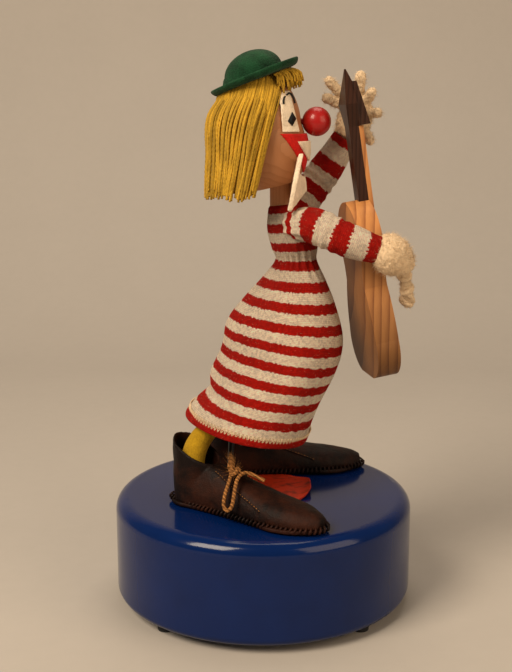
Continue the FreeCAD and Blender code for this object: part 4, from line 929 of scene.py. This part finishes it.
def straight_hair(name, count, depth, steps, sides, lay):
    """One layer of cut yarn that comes out from under the brim and hangs straight."""
    yarn = Strands()
    for number in range(count):
        share = (number + 0.5 + CHANCE.uniform(-HAIR_SPREAD, HAIR_SPREAD)) / count
        inset = depth + CHANCE.uniform(-HAIR_ROUGHNESS, HAIR_ROUGHNESS)
        top = brim_height(hair_spot(share, HAT_SEAT.z, inset + HAIR_TUCK).x)
        low = HAIR_LOW + CHANCE.uniform(*HAIR_ENDS) + depth
        sway = CHANCE.uniform(0, 6)
        bend = CHANCE.uniform(*HAIR_BEND)
        drift = CHANCE.uniform(-HAIR_DRIFT, HAIR_DRIFT)
        line = []
        for step in range(steps + 1):
            t = step / steps
            height = top + (low - top) * t
            tuck = HAIR_TUCK * hill(top, height, HAIR_TUCK_REACH)
            place = hair_spot(min(max(share + drift * t, 0.0), 1.0), height, inset + tuck)
            wave = bend * sin(7 * t + sway)
            line.append(place + Vector((wave, wave * 0.6, 0)))
        line = clear_of(line, ("head",), YARN_RADIUS + depth * 0.2, HEAD_SINK)
        yarn.add(line, YARN_RADIUS, sides, lay, CHANCE.uniform(0, pi))
    return yarn.made(name, "yellow_yarn", "figure")


def forehead_fringe():
    """Short cut yarn that springs out from under the front of the brim."""
    yarn = Strands()
    root_x, root_height = FRINGE_TEMPLE
    more_x, more_height = FRINGE_MIDDLE
    for _ in range(FRINGE_STRANDS):
        across = CHANCE.uniform(-FRINGE_HALF_WIDTH, FRINGE_HALF_WIDTH)
        reach = 1 - (across / (FRINGE_HALF_WIDTH + 1)) ** 2
        start = Vector((root_x + more_x * reach, across, root_height + more_height * reach))
        forward = 4.0 * reach + CHANCE.uniform(0.5, 4.0)
        out = Vector((forward, CHANCE.uniform(-2, 2), CHANCE.uniform(-1.5, 1.0)))
        drop = Vector((CHANCE.uniform(-1.0, 0.8), CHANCE.uniform(-1.5, 1.5), -CHANCE.uniform(3.0, 7.5)))
        corner = start + out
        line = []
        for step in range(FRINGE_STEPS + 1):
            t = step / FRINGE_STEPS
            line.append(start * (1 - t) ** 2 + corner * 2 * t * (1 - t) + (corner + drop) * t**2)
        line = clear_of(line, ("head",), YARN_RADIUS, HEAD_SINK)
        yarn.add(line, YARN_RADIUS * 0.85, 6, YARN_LAY, CHANCE.uniform(0, pi))
    return yarn.made("forehead_fringe", "yellow_yarn", "figure")


def felt_hat():
    """The bowler: one closed felt profile turned round the hat's own axis and eased out over the head."""
    outer = [(HAT_BRIM - 0.1, 3.2), (HAT_BRIM - 0.5, 1.9), (HAT_BRIM - 1.6, 0.6), (HAT_BRIM - 3.2, 0.0)]
    inner_edge = HAT_CROWN - FELT
    hollow, crown = [], []
    dome = 1 - CROWN_WALL
    for turn in quarter_turn(12):
        hollow.append((inner_edge * cos(turn), (HAT_HEIGHT - FELT) * (CROWN_WALL + dome * sin(turn))))
        crown.append((HAT_CROWN * sin(turn), HAT_HEIGHT * (CROWN_WALL + dome * cos(turn))))
    brim = [
        (HAT_CROWN + 0.1, 2.4),
        (HAT_CROWN + 0.7, 1.5),
        (HAT_CROWN + 2.5, 1.15),
        (HAT_BRIM - 3.0, 1.25),
        (HAT_BRIM - 2.1, 1.7),
        (HAT_BRIM - 1.5, 2.5),
        (HAT_BRIM - 1.2, 3.3),
        (HAT_BRIM - 0.6, 3.6),
    ]
    outline = outer + [(inner_edge, 0.0)] + hollow + crown + brim
    shape = bmesh.new()
    corners = [shape.verts.new((r, 0, z)) for r, z in outline]
    edges = [shape.edges.new(pair) for pair in zip(corners, corners[1:] + corners[:1])]
    bmesh.ops.spin(
        shape,
        geom=corners + edges,
        cent=(0, 0, 0),
        axis=(0, 0, 1),
        angle=2 * pi,
        steps=120,
        use_merge=True,
    )
    bmesh.ops.remove_doubles(shape, verts=shape.verts, dist=0.001)
    bmesh.ops.recalc_face_normals(shape, faces=shape.faces)
    place = Matrix.Translation(HAT_SEAT) @ Matrix.Rotation(radians(HAT_LEAN), 4, "Y")
    bmesh.ops.transform(shape, matrix=place, verts=shape.verts)
    shape.normal_update()
    for vertex in shape.verts:
        gap = HEAD_GAP + (FELT if vertex.normal.z > 0 else 0.0)
        vertex.co = clear_of([vertex.co.copy()], ("head",), gap, HEAD_SINK)[0]
    bmesh.ops.transform(shape, matrix=Matrix.Scale(MM, 4), verts=shape.verts)
    mesh = bpy.data.meshes.new("felt_hat")
    shape.to_mesh(mesh)
    shape.free()
    made = placed("felt_hat", mesh, "green_felt", "figure")
    fullness = made.modifiers.new("fullness", "SUBSURF")
    fullness.levels = 1
    fullness.render_levels = 1
    return made


def softened(name, source, voxel, lumps, lump_size, rounds=4, level=0.5):
    """A soft piece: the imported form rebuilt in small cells, rounded off and made uneven."""
    mesh = NODES[source].data.copy()
    made = placed(name, mesh, SLOTS[source], BODY_OF[source])
    cells = made.modifiers.new("cells", "REMESH")
    cells.mode = "VOXEL"
    cells.voxel_size = voxel * MM
    cells.use_smooth_shade = True
    rub = made.modifiers.new("rub", "SMOOTH")
    rub.factor = 0.5
    rub.iterations = rounds
    clouds = bpy.data.textures.new(name, "CLOUDS")
    clouds.noise_scale = lump_size * MM
    clouds.noise_depth = 3
    uneven = made.modifiers.new("uneven", "DISPLACE")
    uneven.texture = clouds
    uneven.texture_coords = "LOCAL"
    uneven.strength = lumps * MM
    uneven.mid_level = level
    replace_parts(made, source)
    return made


def fluff(name, mesh, count, length, thickness, body, keep_off=()):
    """Loose curled wool fibres that stand out of a mesh."""
    mesh.calc_loop_triangles()
    triangles = list(mesh.loop_triangles)
    chosen = CHANCE.choices(triangles, weights=[t.area for t in triangles], k=count)
    fibres = Strands()
    for triangle in chosen:
        corners = [mesh.vertices[index].co / MM for index in triangle.vertices]
        first, second = CHANCE.random(), CHANCE.random()
        if first + second > 1:
            first, second = 1 - first, 1 - second
        root = corners[0] + (corners[1] - corners[0]) * first + (corners[2] - corners[0]) * second
        if any(packed_tree(other).find_nearest(root)[3] < FLUFF_CLEAR * length for other in keep_off):
            continue
        out = triangle.normal.copy()
        bend = scatter()
        reach = length * CHANCE.uniform(0.5, 1.0)
        line = []
        for t in (0.0, 0.35, 0.7, 1.0):
            line.append(root + out * reach * (t - FLUFF_ROOT) + bend * reach * FLUFF_BEND * t * t)
        fibres.add(line, thickness, 3, taper=True)
    return fibres.made(name, "white_wool", body)


def finger_curls():
    """Lumps of curled wool down the near hand's finger."""
    spine = [Vector(spot) for spot in FINGER_LINE]
    keep_off = GUITAR + ("bridge",)
    wool = Strands()
    for lump in range(FINGER_LUMPS):
        t = lump / (FINGER_LUMPS - 1)
        first = min(int(t * 2), 1)
        centre = spine[first].lerp(spine[first + 1], t * 2 - first)
        tilt = scatter().normalized()
        across = tilt.orthogonal().normalized()
        up = tilt.cross(across)
        wide = CHANCE.uniform(1.6, 2.9)
        line = []
        for step in range(LUMP_STEPS + 1):
            angle = 2 * LUMP_TURNS * pi * step / LUMP_STEPS
            curl = across * cos(angle) + up * sin(angle)
            line.append(centre + curl * wide + tilt * LUMP_RISE * (step / LUMP_STEPS - 0.5))
        wool.add(clear_of(line, keep_off, LUMP_GAP, LUMP_SINK), CHANCE.uniform(1.1, 1.6), 8)
    curls = wool.made("near_finger_curls", "white_wool", "figure")
    fluff(
        "near_finger_fluff",
        curls.data,
        count=900,
        length=1.2,
        thickness=0.09,
        body="figure",
        keep_off=keep_off,
    )


def painted_eyes():
    """A black diamond eye and two thin brow strokes on each cheek, laid on the felt."""
    tree = packed_tree("head")
    half = BROW_HALF_WIDTH
    points, faces = [], []

    def laid(x, z, side):
        place, normal, _, _ = tree.ray_cast(Vector((x, 60.0 * side, z)), Vector((0, -side, 0)))
        points.append(place + normal * (FELT + PAINT_LIFT))

    for side in (-1, 1):
        faces.append(tuple(range(len(points), len(points) + len(EYE_DIAMOND))))
        for x, z in EYE_DIAMOND:
            laid(x, z, side)
        for brow in BROWS:
            start = len(points)
            for number, (x, z) in enumerate(brow):
                before, after = brow[max(number - 1, 0)], brow[min(number + 1, len(brow) - 1)]
                way = Vector((after[0] - before[0], after[1] - before[1])).normalized()
                laid(x - way.y * half, z + way.x * half, side)
                laid(x + way.y * half, z - way.x * half, side)
            for row in range(len(brow) - 1):
                low = start + 2 * row
                faces.append((low, low + 1, low + 3, low + 2))
    made = from_lists("painted_eyes", points, faces, "black_plastic", "figure")
    body = made.modifiers.new("body", "SOLIDIFY")
    body.thickness = PAINT_THICKNESS * MM
    body.offset = 0.0
    return made


def in_boot(boot, u, v, w):
    """A point of a boot's own frame in the frame of the part."""
    turn = Matrix.Rotation(radians(boot["turn"]), 3, "Z")
    return turn @ Vector((u, v, w)) + Vector((*boot["heel"], BOOT_LEVEL))


def sole_outline(count):
    """Points along the edge of the sole, in the boot's own frame."""
    ball = BOOT_LENGTH * BALL_SHARE
    found = []
    for number in range(count):
        angle = 2 * pi * number / count
        if cos(angle) > 0:
            u = ball + (BOOT_LENGTH - ball) * cos(angle)
            v = BOOT_HALF_WIDTH * sin(angle)
        else:
            u = ball + ball * cos(angle)
            share = -cos(angle)
            half = BOOT_HALF_WIDTH - (BOOT_HALF_WIDTH - HEEL_RADIUS) * min(HEEL_TAPER * share, 1.0)
            across = abs(sin(angle))
            v = half * sin(angle) / across * across**HEEL_FULLNESS if across else 0.0
        found.append(Vector((u, v, 0)))
    return found


def evenly(points, step):
    """Points at even steps along a closed run of points, with the way along at each."""
    found, carried = [], 0.0
    for start, end in zip(points, points[1:] + points[:1]):
        length = (end - start).length
        spot = step - carried
        while spot < length:
            found.append((start.lerp(end, spot / length), (end - start).normalized()))
            spot += step
        carried = (carried + length) % step
    return found


def whip_stitches(which):
    """Slanted stitches that bind the upper to the edge of the sole."""
    boot = BOOTS[which]
    thread = Strands()
    for place, along in evenly(sole_outline(SOLE_POINTS), STITCH_STEP):
        out = Vector((along.y, -along.x, 0))
        lift = CHANCE.uniform(-0.15, 0.15)
        line = []
        for number, (outward, ahead, height) in enumerate(STITCH_BENDS, 1):
            spot = place + out * outward + along * ahead
            rise = lift if number == len(STITCH_BENDS) else 0.0
            line.append(in_boot(boot, spot.x, spot.y, height + rise))
        thread.add(line, STITCH_RADIUS, 6)
    return thread.made(which + "_stitches", "brown_leather", "base")


def vamp_seam(which):
    """A raised seam with a row of stitches down each side of the boot, and stitches up the heel."""
    boot = BOOTS[which]
    tree = packed_tree(which + "_boot_upper")
    cord, thread = Strands(), Strands()
    for side in (-1, 1):
        line = []
        for step in range(SEAM_STEPS + 1):
            t = step / SEAM_STEPS
            from_heel = SEAM_START[0] + SEAM_RUN[0] * t
            from_middle = SEAM_START[1] + SEAM_RUN[1] * t
            above = in_boot(boot, from_heel, side * from_middle, ABOVE_BOOT)
            place, normal, _, _ = tree.ray_cast(above, Vector((0, 0, -1)))
            if place is not None:
                line.append(place + normal * SEAM_LIFT)
        cord.add(line, SEAM_RADIUS, 6)
        lift = Vector((0, 0, SEAM_THREAD_LIFT))
        for start, end in zip(line[::2], line[1::2]):
            thread.add([start + lift, end + lift], SEAM_THREAD, 5)
    toe_ward = in_boot(boot, 1, 0, 0) - in_boot(boot, 0, 0, 0)
    for step in range(HEEL_STITCHES):
        height = HEEL_STITCH_LOW + HEEL_STITCH_STEP * step
        line = []
        for across in HEEL_STITCH_SPOTS:
            behind = in_boot(boot, BEHIND_BOOT, across, height + HEEL_STITCH_SLANT * across)
            place, normal, _, _ = tree.ray_cast(behind, toe_ward)
            if place is not None:
                line.append(place + normal * HEEL_STITCH_LIFT)
        if len(line) == len(HEEL_STITCH_SPOTS):
            cord.add(line, HEEL_STITCH_RADIUS, 6)
    cord.made(which + "_vamp_seam", "brown_leather", "base")
    thread.made(which + "_vamp_thread", "jute", "base")


def lace_curve(which):
    """The jute lace on its route, with a knot and frayed fibres."""
    boot = BOOTS[which]

    def beside(u, v, w):
        return in_boot(boot, u, -boot["side"] * v, w)

    route = [beside(*spot) * MM for spot in LACE_ROUTE]
    curve = bpy.data.curves.new(which + "_twine", "CURVE")
    curve.dimensions = "3D"
    run = curve.splines.new("NURBS")
    run.points.add(len(route) - 1)
    for point, place in zip(run.points, route):
        point.co = (*place, 1)
    run.order_u = 3
    run.use_endpoint_u = True
    run.resolution_u = 8
    curve.bevel_depth = LACE_RADIUS * MM
    curve.bevel_resolution = 4
    curve.use_fill_caps = True
    curve.materials.append(SHADES["jute"])
    made = bpy.data.objects.new(which + "_twine", curve)
    bpy.context.scene.collection.objects.link(made)
    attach(made, "base")
    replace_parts(made, which + "_lace")

    middle = beside(*KNOT_PLACE)
    knot = Strands()
    line = []
    for step in range(KNOT_STEPS + 1):
        t = 2 * pi * step / KNOT_STEPS
        swing = Vector((sin(t) + 2 * sin(2 * t), cos(t) - 2 * cos(2 * t), -1.2 * sin(3 * t)))
        line.append(middle + swing * KNOT_SIZE)
    knot.add(line, LACE_RADIUS, 8, KNOT_LAY)
    tied = knot.made(which + "_knot", "jute", "base")

    frayed = Strands()
    for _ in range(FRAY_FIBRES):
        way = scatter(0.3, 0.8).normalized()
        curl = scatter()
        reach = CHANCE.uniform(*FRAY_REACH)
        line = []
        for t in (0.1, 0.4, 0.7, 1.0):
            line.append(middle + way * reach * t + curl * reach * FRAY_CURL * t * t)
        frayed.add(line, FRAY_RADIUS, 3, taper=True)
    way = beside(*TAIL_END) - middle
    for _ in range(TAIL_FIBRES):
        curl = scatter(0, 0.4)
        reach = CHANCE.uniform(*TAIL_REACH)
        line = [middle + way * reach * t + curl * TAIL_SPREAD * t for t in (0.0, 0.33, 0.66, 1.0)]
        frayed.add(line, TAIL_RADIUS, 3, taper=True)
    wisps = frayed.made(which + "_wisps", "jute", "base")
    return made


def hem_stitch():
    """The looped thread over the hem."""
    x, z, lean, deep, wide = BODY_STATIONS[0]
    tilt = radians(lean)
    up = Vector((sin(tilt), 0, cos(tilt)))
    forward = Vector((cos(tilt), 0, -sin(tilt)))
    thread = Strands()
    line = []
    steps = HEM_LOOPS * 8
    for step in range(steps + 1):
        angle = 2 * pi * step / steps
        swing = sin(HEM_LOOPS * angle)
        height = HEM_HEIGHT - HEM_LOOP_DROP + HEM_LOOP_RISE * swing
        ring = forward * (deep - HEM_LOOP_INSET) * cos(angle)
        ring += Vector((0, (wide - HEM_LOOP_INSET) * sin(angle), 0))
        line.append(Vector((x + height * HEM_LOOP_SLOPE, 0, z)) + up * height + ring)
    thread.add(line, HEM_THREAD, 5)
    return thread.made("hem_stitch", "white_wool", "figure")


body = knitted_body()
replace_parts(body, "sweater", "body_stuffing")
hem_stitch()
fluff("sweater_fuzz", body.data, count=2800, length=0.8, thickness=0.04, body="figure")

for which, arm, phase in (("near", NEAR_ARM, 0.42), ("far", FAR_ARM, 0.05)):
    arm_piece = sleeve(which + "_knit_sleeve", arm, phase)
    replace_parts(arm_piece, which + "_sleeve")
    hand = which + "_hand"
    glove = softened(which + "_glove", hand, voxel=0.5, lumps=1.5, lump_size=2.0, rounds=2, level=0.42)
    for name, mesh, count, length, thickness in (
        (which + "_glove_fluff", NODES[hand].data, 2600, 1.6, 0.11),
        (which + "_sleeve_fuzz", arm_piece.data, 600, 0.8, 0.04),
    ):
        fluff(name, mesh, count, length, thickness, "figure", GUITAR)
    stocking = softened(which + "_stocking", which + "_leg", voxel=0.6, lumps=0.5, lump_size=6.0)
    upper, sole = which + "_boot_upper", which + "_boot_sole"
    softened(which + "_boot_leather", upper, voxel=0.55, lumps=0.9, lump_size=9.0, rounds=6)
    softened(which + "_boot_base", sole, voxel=0.5, lumps=0.4, lump_size=4.0, rounds=3)
    whip_stitches(which)
    vamp_seam(which)
    lace_curve(which)

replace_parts(straight_hair("hair_outer", count=130, depth=0.8, steps=70, sides=6, lay=YARN_LAY), "hair")
straight_hair("hair_middle", count=110, depth=1.8, steps=40, sides=5, lay=None)
straight_hair("hair_inner", count=90, depth=3.0, steps=24, sides=5, lay=None)
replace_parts(forehead_fringe(), "fringe")
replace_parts(felt_hat(), "hat")
bow = softened("felt_bow", "bow_tie", voxel=0.4, lumps=0.5, lump_size=4.0, rounds=3)
bow_top = max(vertex.co.z for vertex in bow.data.vertices)
for vertex in bow.data.vertices:
    wing = min(abs(vertex.co.y) / (BOW_KNOT * MM), 1.0)
    vertex.co.x += BOW_CURL * wing * (vertex.co.z - bow_top)
softened("felt_eyes", "eye_patches", voxel=0.35, lumps=0.25, lump_size=3.0, rounds=2)
softened("felt_mouth", "mouth_red", voxel=0.35, lumps=0.3, lump_size=3.0, rounds=2)
softened("felt_lips", "mouth_white", voxel=0.35, lumps=0.3, lump_size=3.0, rounds=2)
painted_eyes()
finger_curls()


def studio():
    """A pale floor that turns up into a backdrop, and soft lamps."""
    bend = FLOOR_BEND
    flat_end = FLOOR_BACK - bend
    outline = [(FLOOR_FRONT, 0.0), (flat_end, 0.0)]
    for turn in quarter_turn(12)[1:]:
        outline.append((flat_end + bend * sin(turn), bend - bend * cos(turn)))
    outline.append((FLOOR_BACK, BACKDROP_HEIGHT))
    sheet = bmesh.new()
    corners = [sheet.verts.new((-FLOOR_HALF_WIDTH, y, z)) for y, z in outline]
    edges = [sheet.edges.new(pair) for pair in zip(corners, corners[1:])]
    swept = bmesh.ops.extrude_edge_only(sheet, edges=edges)["geom"]
    far_side = [part for part in swept if isinstance(part, bmesh.types.BMVert)]
    bmesh.ops.translate(sheet, vec=(2 * FLOOR_HALF_WIDTH, 0, 0), verts=far_side)
    mesh = bpy.data.meshes.new("floor")
    sheet.to_mesh(mesh)
    sheet.free()
    mesh.polygons.foreach_set("use_smooth", [True] * len(mesh.polygons))
    pale = fibrous(
        "floor", (0.44, 0.40, 0.36), scale=120.0, depth=0.0001, contrast=0.05, sheen=0.0, roughness=0.8
    )
    mesh.materials.append(pale)
    floor = bpy.data.objects.new("floor", mesh)
    bpy.context.scene.collection.objects.link(floor)
    for name, place, aim, size, power, colour in LAMPS:
        lamp = bpy.data.lights.new(name, "AREA")
        lamp.size = size
        lamp.energy = power
        lamp.color = colour
        made = bpy.data.objects.new(name, lamp)
        made.location = place
        made.rotation_euler = (Vector(aim) - Vector(place)).to_track_quat("-Z", "Y").to_euler()
        bpy.context.scene.collection.objects.link(made)
    world = bpy.data.worlds.new("room")
    world.use_nodes = True
    background = world.node_tree.nodes["Background"]
    background.inputs["Color"].default_value = ROOM_COLOUR
    background.inputs["Strength"].default_value = ROOM_LIGHT
    bpy.context.scene.world = world


def camera():
    """The photograph's view: level with the eyes, looking a little down."""
    lens = bpy.data.cameras.new("camera")
    lens.lens = FOCAL_PIXELS / PHOTO_HEIGHT * SENSOR_WIDTH
    lens.sensor_width = SENSOR_WIDTH
    lens.shift_x = SHIFT_PIXELS / PHOTO_HEIGHT
    lens.clip_start = 0.01
    made = bpy.data.objects.new("camera", lens)
    made.location = CAMERA_PLACE
    made.rotation_euler = (radians(90 - CAMERA_PITCH), 0, 0)
    bpy.context.scene.collection.objects.link(made)
    bpy.context.scene.camera = made


studio()
camera()
bpy.context.scene.view_settings.view_transform = "Standard"
